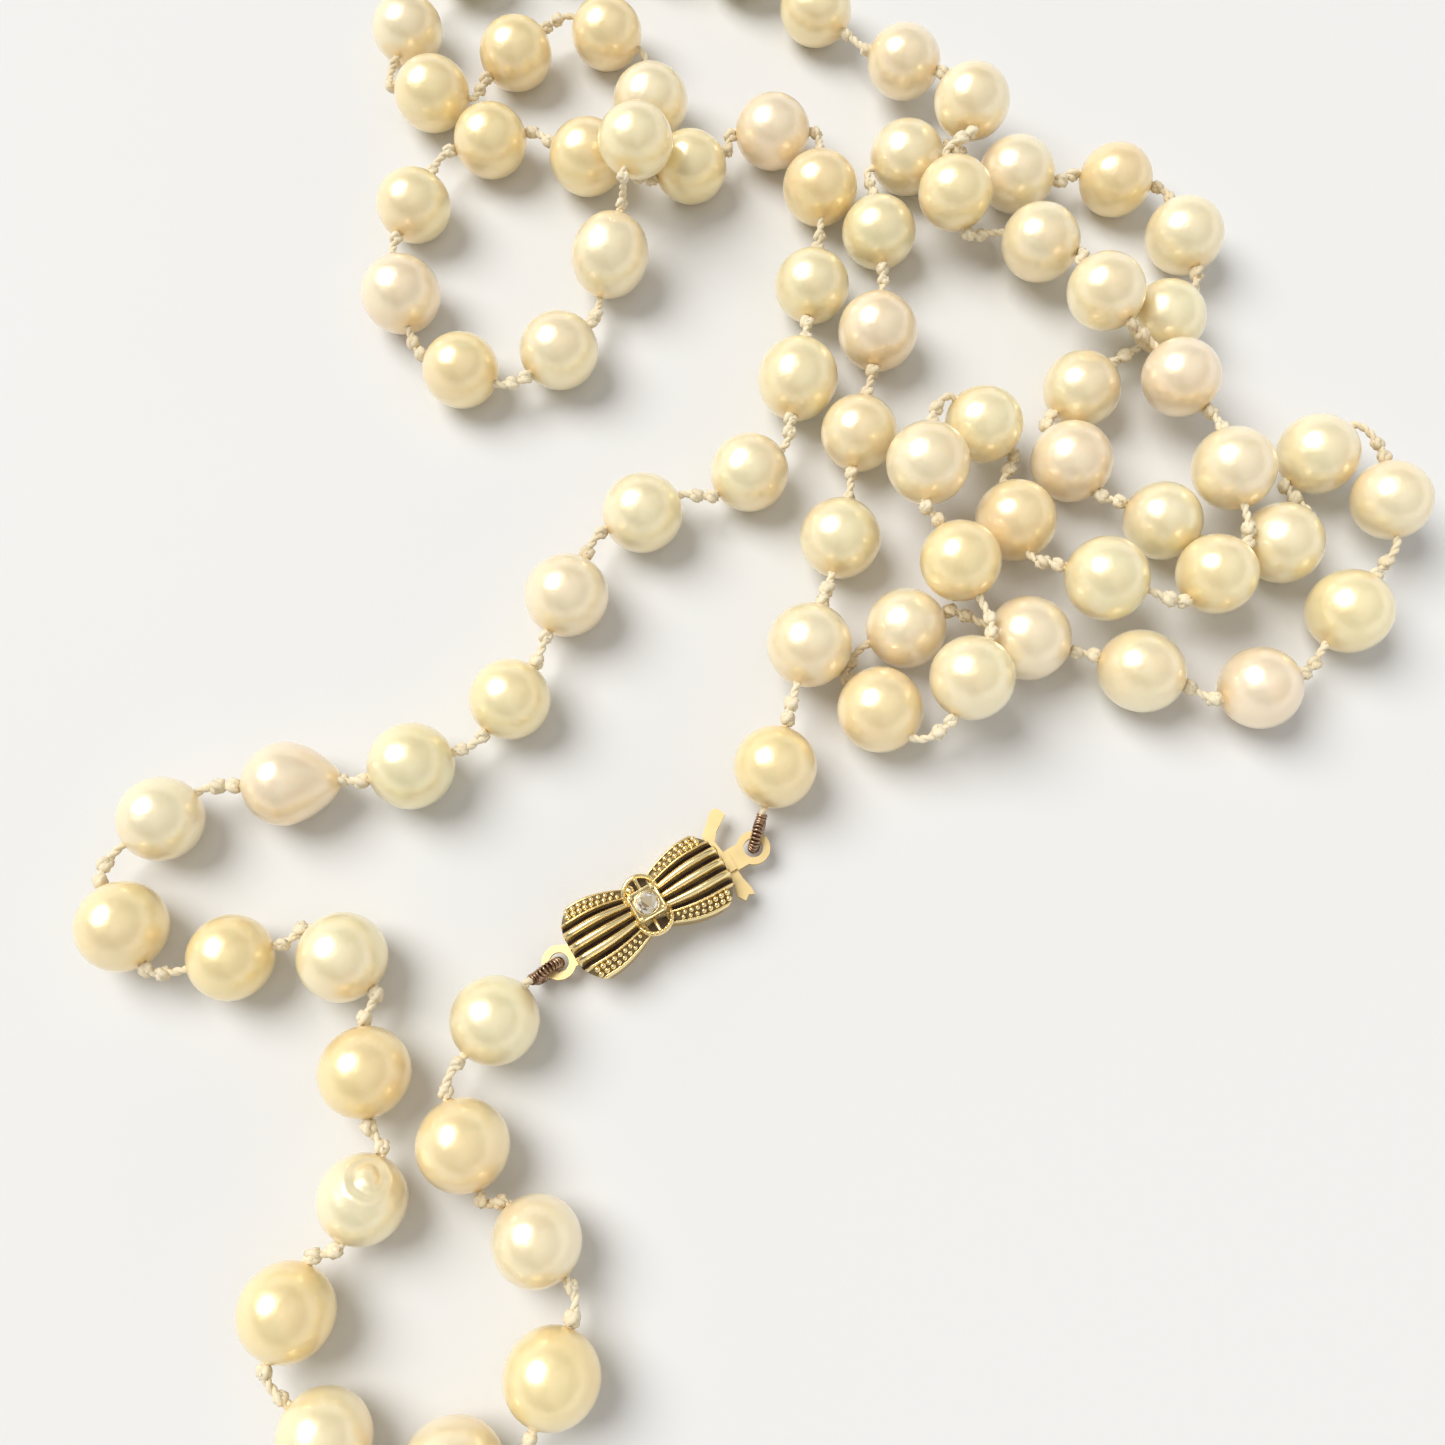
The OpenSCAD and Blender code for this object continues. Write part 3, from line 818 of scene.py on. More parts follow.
@dataclass
class Pearls:
    """All the pearls of the strand.

    lump, and the height of a wrinkle, are in millimetres; known holds tints seen in the photograph.
    """

    layout: Layout
    finish: bpy.types.Material
    segments: int = 56
    rings: int = 32
    lump: float = 0.16
    lump_scale: float = 170.0
    seed: int = 7
    blister: int = 7
    blister_lean: float = 0.55
    blister_way: tuple[float, float, float] = (0.1, 0.0, 0.84)
    fine: int = 144
    taper: float = 0.2
    wrinkles: tuple[tuple[float, float, float], ...] = (  # angle, width in degrees, height
        (20.0, 7.5, -0.2), (33.0, 6.0, 0.08), (0.0, 13.0, 0.06))
    ragged: tuple[tuple[float, int, float], ...] = (  # depth in degrees, waves round the patch, shift
        (2.5, 2, 0.6), (0.8, 5, 0.0))
    known: dict[int, float] = field(default_factory=lambda: {
        0: 0.97, 7: 0.55, 12: 0.6, 13: 0.86, 14: 0.98, 15: 0.3, 16: 0.75, 17: 0.55, 18: 0.42})

    def __post_init__(self) -> None:
        """Builds the scatter tree and draws a shade for each pearl."""
        self.tree = self._tree()
        draw = random.Random(self.seed)
        self.tints = [self.known.get(i, draw.random()) for i in range(self.layout.count)]

    def _tree(self) -> GeometryTree:
        """Builds the tree that puts a slightly uneven ball on each point.

        Returns:
            The tree.
        """
        tree = GeometryTree("pearl_scatter", [
            ("Segments", "Int"), ("Rings", "Int"), ("Lump", "Float"), ("Lump Scale", "Float"),
            ("Finish", "Material")])
        ball = tree.node("GeometryNodeMeshUVSphere", {}, {
            "Segments": tree.given("Segments"), "Rings": tree.given("Rings"), "Radius": 1.0})
        spot = tree.node("GeometryNodeInputPosition", {}, {})
        height = tree.node("ShaderNodeSeparateXYZ", {}, {0: spot}).out("Z")
        poleward = tree.node("ShaderNodeMath", {"operation": "ABSOLUTE"}, {0: height})
        ball = tree.node("GeometryNodeStoreNamedAttribute", {"data_type": "FLOAT"}, {
            "Geometry": ball, "Name": "pole", "Value": poleward})
        real = tree.node("GeometryNodeRealizeInstances", {}, {0: tree.placed(ball)})
        waves = tree.node("ShaderNodeTexNoise", {}, {
            "Vector": tree.node("GeometryNodeInputPosition", {}, {}),
            "Scale": tree.given("Lump Scale"), "Detail": 1.0})
        lift = (waves - 0.5) * tree.given("Lump")
        out = tree.node("ShaderNodeVectorMath", {"operation": "SCALE"}, {
            0: tree.node("GeometryNodeInputNormal", {}, {}), "Scale": lift})
        uneven = tree.node("GeometryNodeSetPosition", {}, {"Geometry": real, "Offset": out})
        tree.finish(uneven)
        return tree

    def spot(self, i: int) -> Spot:
        """Point of a pearl for the scatter, spun by its tint so that no two lie alike.

        Args:
            i: Number of the pearl.

        Returns:
            Its place, turn, size and tint.
        """
        lay = self.layout
        size = (lay.radii[i], lay.radii[i], lay.radii[i] * lay.ovals.get(i, 1.0))
        return lay.centres[i], turn_to(lay.drills[i], self.tints[i] * 6.0), size, self.tints[i]

    def mesh(self, numbers: Sequence[int], name: str) -> bpy.types.Mesh:
        """Makes some of the pearls.

        Args:
            numbers: Numbers of the pearls.
            name: Name of the mesh.

        Returns:
            The mesh.
        """
        segments, rings = self.segments, self.rings
        if self.blister in numbers:
            segments, rings = self.fine, self.fine // 2
        values = {
            "Segments": segments, "Rings": rings, "Lump": self.lump * MM,
            "Lump Scale": self.lump_scale, "Finish": self.finish}
        mesh = self.tree.grow(marks([self.spot(i) for i in numbers]), name, values)
        if self.layout.drop in numbers:
            self._point(mesh)
        if self.blister in numbers:
            self._blister(mesh)
        return mesh

    def _shape(
        self, mesh: bpy.types.Mesh, i: int, change: Callable[[np.ndarray, float], np.ndarray],
    ) -> None:
        """Moves the vertices of pearl i.

        Args:
            mesh: Mesh that holds the pearl.
            i: Number of the pearl.
            change: Gives new places for vertices seen from the pearl's centre, and its radius.
        """
        places = np.empty(len(mesh.vertices) * 3)
        mesh.vertices.foreach_get("co", places)
        places = places.reshape(-1, 3) / MM
        local = places - self.layout.centres[i]
        near = np.linalg.norm(local, axis=1) < self.layout.radii[i] * 1.1
        places[near] = self.layout.centres[i] + change(local[near], self.layout.radii[i])
        mesh.vertices.foreach_set("co", (places * MM).ravel())
        mesh.update()

    def _point(self, mesh: bpy.types.Mesh) -> None:
        """Draws one pearl out to a blunt point.

        Args:
            mesh: Mesh that holds the pearl.
        """
        way = self.layout.drills[self.layout.drop]
        grow = self.layout.drop_point / 2

        def change(local: np.ndarray, r: float) -> np.ndarray:
            """Stretches the half beyond the centre.

            Args:
                local: Vertices seen from the pearl's centre.
                r: Its radius.

            Returns:
                Their new places.
            """
            along = local @ way
            share = np.clip(along / r, 0, 1)
            side = local - along[:, None] * way
            narrow, longer = 1 - self.taper * share**2, along + grow * share**2
            return side * narrow[:, None] + longer[:, None] * way

        self._shape(mesh, self.layout.drop, change)

    def _blister(self, mesh: bpy.types.Mesh) -> None:
        """Gives one pearl a sunken patch with wrinkled rings beside its drill hole.

        Args:
            mesh: Mesh that holds the pearl.
        """
        drill = self.layout.drills[self.blister]
        middle = unit(drill * self.blister_lean + np.array(self.blister_way))
        first = unit(np.cross(middle, drill))
        second = np.cross(middle, first)

        def change(local: np.ndarray, r: float) -> np.ndarray:
            """Sinks the patch and raises its rings.

            Args:
                local: Vertices seen from the pearl's centre.
                r: Its radius.

            Returns:
                Their new places.
            """
            ways = local / np.linalg.norm(local, axis=1)[:, None]
            off = np.degrees(np.arccos(np.clip(ways @ middle, -1, 1)))
            round_it = np.arctan2(ways @ second, ways @ first)
            edge = sum((deep * np.sin(n * round_it + shift) for deep, n, shift in self.ragged), off)
            lift = sum(
                high * np.exp(-((edge - at) / wide) ** 2) for at, wide, high in self.wrinkles)
            return local + ways * lift[:, None]

        self._shape(mesh, self.blister, change)

    def build(self) -> None:
        """Builds a piece for every construction node of pearls."""
        lay = self.layout
        for k, stretch in enumerate(STRETCHES):
            numbers = range(lay.first[k], lay.last(k) + 1)
            if not stretch.single:
                node = f"{stretch.name}_pearls"
                body = stretch.name if stretch.swings else "strand"
                new_piece(self.mesh(numbers, node), f"nacre_{stretch.name}", body, node)
                continue
            for j, i in enumerate(numbers, 1):
                node = f"{stretch.name}_pearl_{j}"
                new_piece(self.mesh([i], node), f"nacre_{stretch.name}_{j}", node, node)


# Silk


@dataclass
class Silk:
    """Twisted silk thread and its knots.

    Lengths are in millimetres. knot_size and knot_room are shares of the knot's radius, knot_range and
    knot_tall of its size.
    """

    layout: Layout
    finish: bpy.types.Material
    ply_r: float = 0.2
    ply_offset: float = 0.14
    lay_length: float = 1.5
    step: float = 0.14
    hidden: float = 0.7
    samples: int = 25
    knot_size: float = 1.16
    knot_range: tuple[float, float] = (0.88, 1.04)
    knot_tall: float = 1.05
    knot_room: float = 0.86
    knot_pair: float = 1.25
    roomy: float = 2.2
    pull: float = 1.05
    seed: int = 3

    def __post_init__(self) -> None:
        """Builds both trees and the knot that is repeated."""
        self.draw = random.Random(self.seed)
        self.twist = self._twist_tree()
        self.tie = GeometryTree("knot_scatter", [("Knot", "Object"), ("Finish", "Material")])
        shape = self.tie.node("GeometryNodeObjectInfo", {}, {0: self.tie.given("Knot")})
        self.tie.finish(self.tie.placed(shape.out("Geometry")))
        self.knot = self._knot()

    def _twist_tree(self) -> GeometryTree:
        """Builds the tree that winds two plies round each path.

        Returns:
            The tree.
        """
        tree = GeometryTree("silk_twist", [
            ("Step", "Float"), ("Ply Radius", "Float"), ("Ply Offset", "Float"),
            ("Lay Length", "Float"), ("Finish", "Material")])
        line = tree.node("GeometryNodeMeshToCurve", {}, {0: tree.given("Geometry")})
        fine = tree.node("GeometryNodeResampleCurve", {"mode": "LENGTH"}, {
            "Curve": line, "Length": tree.given("Step")})
        along = tree.node("GeometryNodeSplineParameter", {}, {}).out("Length")
        turns = along / tree.given("Lay Length") * (2 * math.pi)
        profile = tree.node("GeometryNodeCurvePrimitiveCircle", {}, {
            "Resolution": 6, "Radius": tree.given("Ply Radius")})
        plies = tree.node("GeometryNodeJoinGeometry", {}, {})
        for phase in (0.0, math.pi):
            side = tree.node("ShaderNodeVectorRotate", {"rotation_type": "AXIS_ANGLE"}, {
                "Vector": tree.node("GeometryNodeInputNormal", {}, {}),
                "Axis": tree.node("GeometryNodeInputTangent", {}, {}), "Angle": turns + phase})
            offset = tree.node("ShaderNodeVectorMath", {"operation": "SCALE"}, {
                0: side, "Scale": tree.given("Ply Offset")})
            wound = tree.node("GeometryNodeSetPosition", {}, {"Geometry": fine, "Offset": offset})
            ply = tree.node("GeometryNodeCurveToMesh", {}, {
                "Curve": wound, "Profile Curve": profile, "Fill Caps": True})
            tree.tree.links.new(ply.socket, plies.socket.node.inputs[0])
        tree.finish(plies)
        return tree

    @staticmethod
    def _knot() -> bpy.types.Object:
        """Makes a small overhand knot, one unit in radius, with the thread along Z.

        Returns:
            An object that holds the knot's mesh.
        """
        sides, samples, fat, reach, rise = 5, 30, 0.46, 0.18, 0.42
        rows = []
        for s in range(samples):
            t = 2 * math.pi * s / samples
            spot = np.array([
                (math.sin(t) + 2 * math.sin(2 * t)) * reach,
                (math.cos(t) - 2 * math.cos(2 * t)) * reach,
                -math.sin(3 * t) * rise])
            way = unit(np.array([
                (math.cos(t) + 4 * math.cos(2 * t)) * reach,
                (-math.sin(t) + 4 * math.sin(2 * t)) * reach,
                -3 * math.cos(3 * t) * rise]))
            rows.append([p / MM for p in around(spot, way, fat, sides, (0.3, 0.2, 1.0))])
        mesh = grid_mesh("knot", [*rows, rows[0]], caps=False)
        made = bmesh.new()
        made.from_mesh(mesh)
        bmesh.ops.remove_doubles(made, verts=made.verts, dist=1e-5)
        bmesh.ops.recalc_face_normals(made, faces=made.faces)
        made.to_mesh(mesh)
        made.free()
        return bpy.data.objects.new("knot_shape", mesh)

    def curve(self, i: int) -> np.ndarray:
        """Path of the thread from a pearl to the next one, along the drills at both ends.

        Args:
            i: Number of the first pearl.

        Returns:
            Points of the path, in millimetres.
        """
        lay = self.layout
        a = lay.bend(i, True) if lay.hinged(i, True) else lay.pole(i, True)
        b = lay.bend(i + 1, False) if lay.hinged(i + 1, False) else lay.pole(i + 1, False)
        pull = self.pull * np.linalg.norm(b - a)
        s = np.linspace(0, 1, self.samples)[:, None]
        h = (2 * s**3 - 3 * s**2 + 1, s**3 - 2 * s**2 + s, -2 * s**3 + 3 * s**2, s**3 - s**2)
        return h[0] * a + h[1] * pull * lay.drills[i] + h[2] * b + h[3] * pull * lay.drills[i + 1]

    def gap(self, i: int) -> tuple[np.ndarray, list[tuple[Point, Point, bool]]]:
        """Thread between pearl i and the next one.

        Args:
            i: Number of the first pearl.

        Returns:
            The path, and for each knot its place, its direction and whether a pearl swings on it.
        """
        lay = self.layout
        line = self.curve(i)
        lengths = np.concatenate([[0], np.cumsum(np.linalg.norm(np.diff(line, axis=0), axis=1))])
        room = lay.knot_r * self.knot_room
        clear = [
            j for j, at in enumerate(line)
            if all(np.linalg.norm(at - lay.centres[n]) > lay.radii[n] + room for n in (i, i + 1))]
        swings_first, swings_last = lay.hinged(i, True), lay.hinged(i + 1, False)
        start = stop = lengths[-1] / 2
        if clear:
            start, stop = lengths[clear[0]], lengths[clear[-1]]
        start = 0.0 if swings_first else start
        stop = lengths[-1] if swings_last else stop
        if stop - start > self.roomy and not swings_first and not swings_last:
            if self.draw.random() < 0.5:
                stop = start + self.knot_pair
            else:
                start = stop - self.knot_pair
        knots = []
        for at, swings in ((start, swings_first), (stop, swings_last)):
            j = int(np.clip(np.searchsorted(lengths, at), 1, len(line) - 1))
            share = (at - lengths[j - 1]) / max(lengths[j] - lengths[j - 1], 1e-6)
            way = line[j] - line[j - 1]
            knots.append((line[j - 1] + way * share, unit(way), swings))
        head = [] if swings_first else [lay.pole(i, True, self.hidden)]
        tail = [] if swings_last else [lay.pole(i + 1, False, self.hidden)]
        return np.array([*head, *line, *tail]), knots

    def piece(self, name: str, body: str, gaps: Sequence[int], extra: Sequence[np.ndarray]) -> None:
        """Builds the thread and knots of one construction node.

        Args:
            name: The construction node.
            body: Body that carries it.
            gaps: Gaps that it holds, by the number of the pearl before each.
            extra: More paths.
        """
        made = [self.gap(i) for i in gaps]
        values = {
            "Step": self.step * MM, "Ply Radius": self.ply_r * MM,
            "Ply Offset": self.ply_offset * MM, "Lay Length": self.lay_length * MM,
            "Finish": self.finish}
        lines = [*(m[0] for m in made), *extra]
        parts = [self.twist.grow(paths(lines), f"{name}_twist", values)]
        knots = [k for m in made for k in m[1]]
        if knots:
            spots = []
            for place, way, swings in knots:
                size = self.layout.knot_r * self.knot_size * self.draw.uniform(*self.knot_range)
                size = min(size, self.layout.knot_r) if swings else size
                turn = turn_to(way, self.draw.uniform(0, 6.28))
                spots.append((place, turn, (size, size, size * self.knot_tall), 0.0))
            tied = {"Knot": self.knot, "Finish": self.finish}
            parts.append(self.tie.grow(marks(spots), f"{name}_knots", tied))
        mesh = joined(name, parts) if len(parts) > 1 else parts[0]
        new_piece(mesh, f"thread_{name}", body, name)

    def stem(self, i: int, out: bool) -> np.ndarray:
        """Short thread from inside a swinging pearl to the knot that it swings on."""
        return np.array([self.layout.pole(i, out, self.hidden), self.layout.bend(i, out)])

    def build(self, ends: dict[int, np.ndarray]) -> None:
        """Builds the silk of every stretch.

        Args:
            ends: Paths into the gimp, by the number of the end pearl.
        """
        lay = self.layout
        for k, stretch in enumerate(STRETCHES):
            first, last = lay.first[k], lay.last(k)
            if k == 0:
                for i in range(first, last + 1):
                    extra = [self.stem(i, True)] + ([ends[0]] if i == 0 else [])
                    self.piece(f"link_silk_{i + 1}", f"link_{i + 1}", [i - 1] if i else [], extra)
                continue
            gaps = list(range(first, last))
            gaps += [first - 1] if stretch.holds_before else []
            gaps += [last] if stretch.holds_after else []
            extra = [self.stem(first, False), self.stem(last, True)] if stretch.swings else []
            extra += [ends[last]] if last in ends else []
            body = stretch.name if stretch.swings else "strand"
            self.piece(f"{stretch.name}_silk", body, gaps, extra)


# Gimp


@dataclass
class Gimp:
    """Coils of fine wire over the silk at both eyelets.

    Lengths are in millimetres. wire_pitch is a share of the wire's diameter, neck_from of the coil's.
    """

    layout: Layout
    finish: bpy.types.Material
    rim_mid: float = 1.025
    loop_mid: float = 0.99
    coil_d: float = 0.9
    wire_d: float = 0.24
    wire_pitch: float = 1.02
    neck: float = 0.2
    neck_from: float = 0.2
    tilt: float = 0.12

    def __post_init__(self) -> None:
        """Builds the tree of wire rings."""
        tree = GeometryTree("wire_coil", [
            ("Ring", "Float"), ("Wire", "Float"), ("Finish", "Material")])
        ring, wire = (
            tree.node("GeometryNodeCurvePrimitiveCircle", {}, {
                "Resolution": sides, "Radius": tree.given(label)})
            for label, sides in (("Ring", 14), ("Wire", 5)))
        turn = tree.node("GeometryNodeCurveToMesh", {}, {"Curve": ring, "Profile Curve": wire})
        tree.finish(tree.placed(turn))
        self.tree = tree

    def loop(self, eye: Point, bend: Point) -> tuple[Point, Point, Point]:
        """Works out how the coil lies in an eyelet.

        Args:
            eye: Middle of the eyelet's hole.
            bend: Bend of the silk beside the end pearl.

        Returns:
            Centre of the coil's loop, its flat direction and the direction of the silk.
        """
        flat = unit((bend - eye) * (1 - UP))
        centre = eye + self.rim_mid * flat
        return centre, flat, unit(bend - centre)

    def end(self, eye: Point, bend: Point) -> Point:
        """Where the silk goes into the coil."""
        centre, _, way = self.loop(eye, bend)
        return centre + way * (self.loop_mid + self.coil_d / 2 + self.neck)

    def build(self, eye: Point, bend: Point, name: str, body: str) -> None:
        """Builds one coil.

        Args:
            eye: Middle of the eyelet's hole.
            bend: Bend of the silk beside the end pearl.
            name: The construction node.
            body: Body that carries it.
        """
        centre, flat, way = self.loop(eye, bend)
        size = (1 / MM,) * 3  # the rings have their size in metres already
        spots = []
        count = round(2 * math.pi * self.loop_mid / (self.wire_d * self.wire_pitch))
        for j in range(count):
            t = 2 * math.pi * j / count
            radial = math.cos(t) * flat + math.sin(t) * UP
            tangent = -math.sin(t) * flat + math.cos(t) * UP
            turn = turn_to(unit(tangent + self.tilt * radial))
            spots.append((centre + radial * self.loop_mid, turn, size, 0.0))
        start = self.loop_mid + self.coil_d * self.neck_from
        stop = self.loop_mid + self.coil_d / 2 + self.neck
        steps = max(2, round((stop - start) / self.wire_d))
        for j in range(steps + 1):
            along = start + (stop - start) * j / steps
            spots.append((centre + way * along, turn_to(way), size, 0.0))
        values = {
            "Ring": (self.coil_d - self.wire_d) / 2 * MM, "Wire": self.wire_d / 2 * MM,
            "Finish": self.finish}
        new_piece(self.tree.grow(marks(spots), name, values), f"coil_{name}", body, name)


# Clasp


@dataclass
class BowClasp:
    """Bow-shaped cover with fluted lobes, beaded edges, ribbon loops, setting and stone.

    Lengths are in millimetres. fan and panel are shares of half the width, lobe_full of the length,
    bead_rows of a panel's width, bead_from and bead_run of a lobe's length, and bead_least of a full
    bead. groove is the width of a groove by that of a rib.
    """

    layout: Layout
    gold: bpy.types.Material
    stone: bpy.types.Material
    length: float = 13.0
    lobe_w: float = 6.2
    waist_w: float = 3.2
    lobe_full: float = 0.36
    end_sag: float = 1.3
    end_flat: float = 1.0
    case_h: float = 2.5
    dome: float = 1.25
    dome_seat: float = 0.15
    ribs: int = 3
    groove: float = 0.72
    fan: float = 0.57
    rib_h: float = 0.36
    groove_h: float = 0.62
    groove_edge: float = 0.16
    bank_h: float = 0.2
    rim_h: float = 0.16
    panel: tuple[float, float] = (0.64, 0.92)
    panel_sink: float = 0.1
    bead_d: float = 0.5
    bead_least: float = 0.62
    bead_lift: float = 0.02
    bead_rows: tuple[float, float] = (0.27, 0.73)
    bead_from: float = 0.16
    bead_run: float = 0.78
    beads_in_row: int = 9
    loop_r: float = 1.3
    loop_y: float = 1.0
    loop_beads: int = 11
    loop_bead_r: float = 0.17
    loop_bead_h: float = 0.78
    end_bead_r: float = 0.44
    end_bead: tuple[float, float, float] = (-0.62, 1.62, 0.62)
    loop_low: float = 0.6
    loop_rise: float = 0.4
    root: float = 0.8
    side_fall: float = 0.75
    root_crown: float = 0.45
    end_fall: float = 0.3
    end_from: float = 0.85
    band_half: float = 1.25
    band_w: float = 1.42
    band_pinch: float = 0.12
    band_h: float = 1.0
    band_crown: float = 0.2
    band_round: float = 0.8
    collet_w: float = 2.3
    collet_top: float = 1.8
    stone_d: float = 1.7
    seed: int = 5

    def __post_init__(self) -> None:
        """Builds the bead tree."""
        tree = GeometryTree("bead_scatter", [("Finish", "Material")])
        ball = tree.node("GeometryNodeMeshIcoSphere", {}, {"Radius": 1.0, "Subdivisions": 2})
        tree.finish(tree.placed(ball.out("Mesh")))
        self.beads = tree
        turn = math.radians(self.layout.clasp_turn)
        self.frame = Matrix.Translation((*self.layout.clasp, 0)) @ Matrix.Rotation(turn, 4, "Z")

    def world(self, p: Sequence[float]) -> Point:
        """A point of the clasp's own frame, in millimetres of the whole."""
        return np.array(self.frame @ Vector(p))

    def half_width(self, x: float) -> float:
        """Half the width of the bow at a distance from its middle."""
        share = math.sin(math.pi / 2 * min(1.0, x / (self.lobe_full * self.length)))
        return (self.waist_w + (self.lobe_w - self.waist_w) * share) / 2

    def relief(self, u: float, v: float) -> tuple[float, float]:
        """Height over the dome and painted shade at a place on a lobe.

        Args:
            u: 0 at the waist, 1 at the end of the lobe.
            v: -1 to 1 across the lobe.

        Returns:
            The height in millimetres, and the painted shade, 0 for none to 1 for darkest.
        """
        side = abs(v)
        if side < self.fan:
            period = 1 + self.groove
            place = (v / self.fan + 1) / 2 * (self.ribs * period + self.groove) % period
            if place > self.groove:
                off = abs(2 * (place - self.groove) - 1)
                # painted shade on the flanks of the rib
                return self.rib_h * math.sqrt(1 - off * off) - 0.04, 0.3 * off**6
            deep = min(1.0, min(place, self.groove - place) / self.groove_edge)
            # painted shade down in the groove
            return -self.groove_h * deep * (0.35 + 0.65 * min(1.0, u * 3)), deep
        inner, outer = self.panel
        if side < inner:
            across = (side - self.fan) / (inner - self.fan)
            return self.bank_h * math.sin(math.pi * across) ** 0.5, 0.0
        if side < outer:
            # painted shade in the sunk panel between the beads
            return -self.panel_sink, 0.8
        across = min(1.0, (side - outer) / (1 - outer))
        return self.rim_h * math.sin(math.pi * across) ** 0.5, 0.0

    def lobe_point(self, side: int, u: float, v: float) -> tuple[float, float, float]:
        """Place on the smooth dome of a lobe, without its relief.

        Args:
            side: -1 or 1, for the lobe.
            u: 0 at the waist, 1 at the end of the lobe.
            v: -1 to 1 across the lobe.

        Returns:
            The place in the clasp's own frame.
        """
        wide = self.lobe_w / 2
        curve = max(0.0, (abs(v) * wide - self.end_flat) / (wide - self.end_flat))
        x = self.root + (self.length / 2 - self.end_sag * curve**2 - self.root) * u
        swell = math.sin(math.pi * min(1.0, 0.12 + 0.62 * u))
        crown = (1 - self.side_fall * v * v) * (self.root_crown + (1 - self.root_crown) * swell)
        crown *= 1 - self.end_fall * max(0.0, (u - self.end_from) / (1 - self.end_from)) ** 2
        return side * x, v * self.half_width(x), self.case_h + self.dome_seat + self.dome * crown

    def _gilded(self, mesh: bpy.types.Mesh, hollow: Sequence[float]) -> bpy.types.Mesh:
        """Gives a mesh the gold finish, with painted shade.

        Args:
            mesh: The mesh.
            hollow: Painted shade on each vertex, 0 for none to 1 for darkest.

        Returns:
            The same mesh.
        """
        store(mesh, "hollow", "POINT", hollow)
        mesh.materials.append(self.gold)
        return mesh

    def _beaded(self, spots: Sequence[Spot], name: str) -> bpy.types.Mesh:
        """Makes bright beads.

        Args:
            spots: Where they sit.
            name: Name of the mesh.

        Returns:
            The mesh.
        """
        mesh = self.beads.grow(marks(spots), name, {"Finish": self.gold})
        store(mesh, "hollow", "POINT", [0.0] * len(mesh.vertices))
        return mesh

    def _lobe(self, side: int) -> bpy.types.Mesh:
        """Makes one fluted lobe, closed down to the case.

        Args:
            side: -1 or 1, for the lobe.

        Returns:
            The mesh.
        """
        across, along = 145, 40
        rows, dark = [], []
        for a in range(along + 1):
            u = a / along
            row, shade = [], []
            for b in range(across):
                v = -1 + 2 * b / (across - 1)
                x, y, z = self.lobe_point(side, u, v)
                # painted shade from the relief, weaker near the waist; the low edges of the lobe get a
                # little painted shade too
                height, hollow = self.relief(u, v)
                fade = min(1.0, u / 0.08)
                row.append(self.world((x, y, max(z + height * fade, self.case_h + 0.05))))
                shade.append(hollow * min(1.0, 0.3 + fade))
            low = [self.world((*self.lobe_point(side, u, w)[:2], self.case_h)) for w in (-1, 1)]
            rows.append([low[0], *row, low[1]])
            dark.append([0.1, *shade, 0.1])
        rows.append([p * (1 - UP) + UP * (self.case_h - 0.05) for p in rows[-1]])
        dark.append([0.0] * len(dark[0]))
        return self._gilded(grid_mesh("lobe", rows), [d for row in dark for d in row])

    def _tube(self, points: Sequence[Sequence[float]], radius: float) -> bpy.types.Mesh:
        """Makes a round wire.

        Args:
            points: Points of the clasp's own frame that it runs through.
            radius: Radius of the wire.

        Returns:
            The mesh.
        """
        spots = [self.world(p) for p in points]
        count, sides, rows = len(spots), 8, []
        for j, spot in enumerate(spots):
            before, after = spots[max(0, j - 1)], spots[min(count - 1, j + 1)]
            rows.append(around(spot, unit(after - before), radius, sides, (0.0, 0.1, 1.0)))
        mesh = grid_mesh("wire", rows)
        return self._gilded(mesh, [0.0] * len(mesh.vertices))

    def _loop(self, side: int) -> list[bpy.types.Mesh]:
        """Makes a loop of ribbon beside the stone.

        Args:
            side: -1 or 1, for the side of the bow.

        Returns:
            The rim, the rib across it and a dark plug below, which is painted shade inside the loop.
        """
        r, y0, z = self.loop_r, self.loop_y, self.case_h
        rim_wire, rib_wire, inside = 0.2, 0.15, 0.97 * r
        turns = [math.pi * j / 24 for j in range(25)]
        rim = [
            (r * math.cos(t), side * (y0 + r * math.sin(t)),
             z + self.loop_low + self.loop_rise * math.sin(t))
            for t in turns]
        rib_off, rib_low, rib_climb, rib_steps, shade_plug_h, shade_plug_dark = 0.12, 0.75, 0.04, 6, 0.5, 0.9
        rib = [
            (rib_off * side, side * (y0 + r * k / rib_steps), z + rib_low + rib_climb * k)
            for k in range(rib_steps + 1)]
        # painted shade: a dark gold plug fills the inside of the loop
        ring = [2 * math.pi * j / 32 for j in range(32)]
        rows = [
            [
                self.world((inside * math.cos(t), side * (y0 + inside * math.sin(t)), h))
                for t in ring]
            for h in (z, z + shade_plug_h)]
        floor = grid_mesh("hollow", rows)
        self._gilded(floor, [shade_plug_dark] * len(floor.vertices))
        return [self._tube(rim, rim_wire), self._tube(rib, rib_wire), floor]

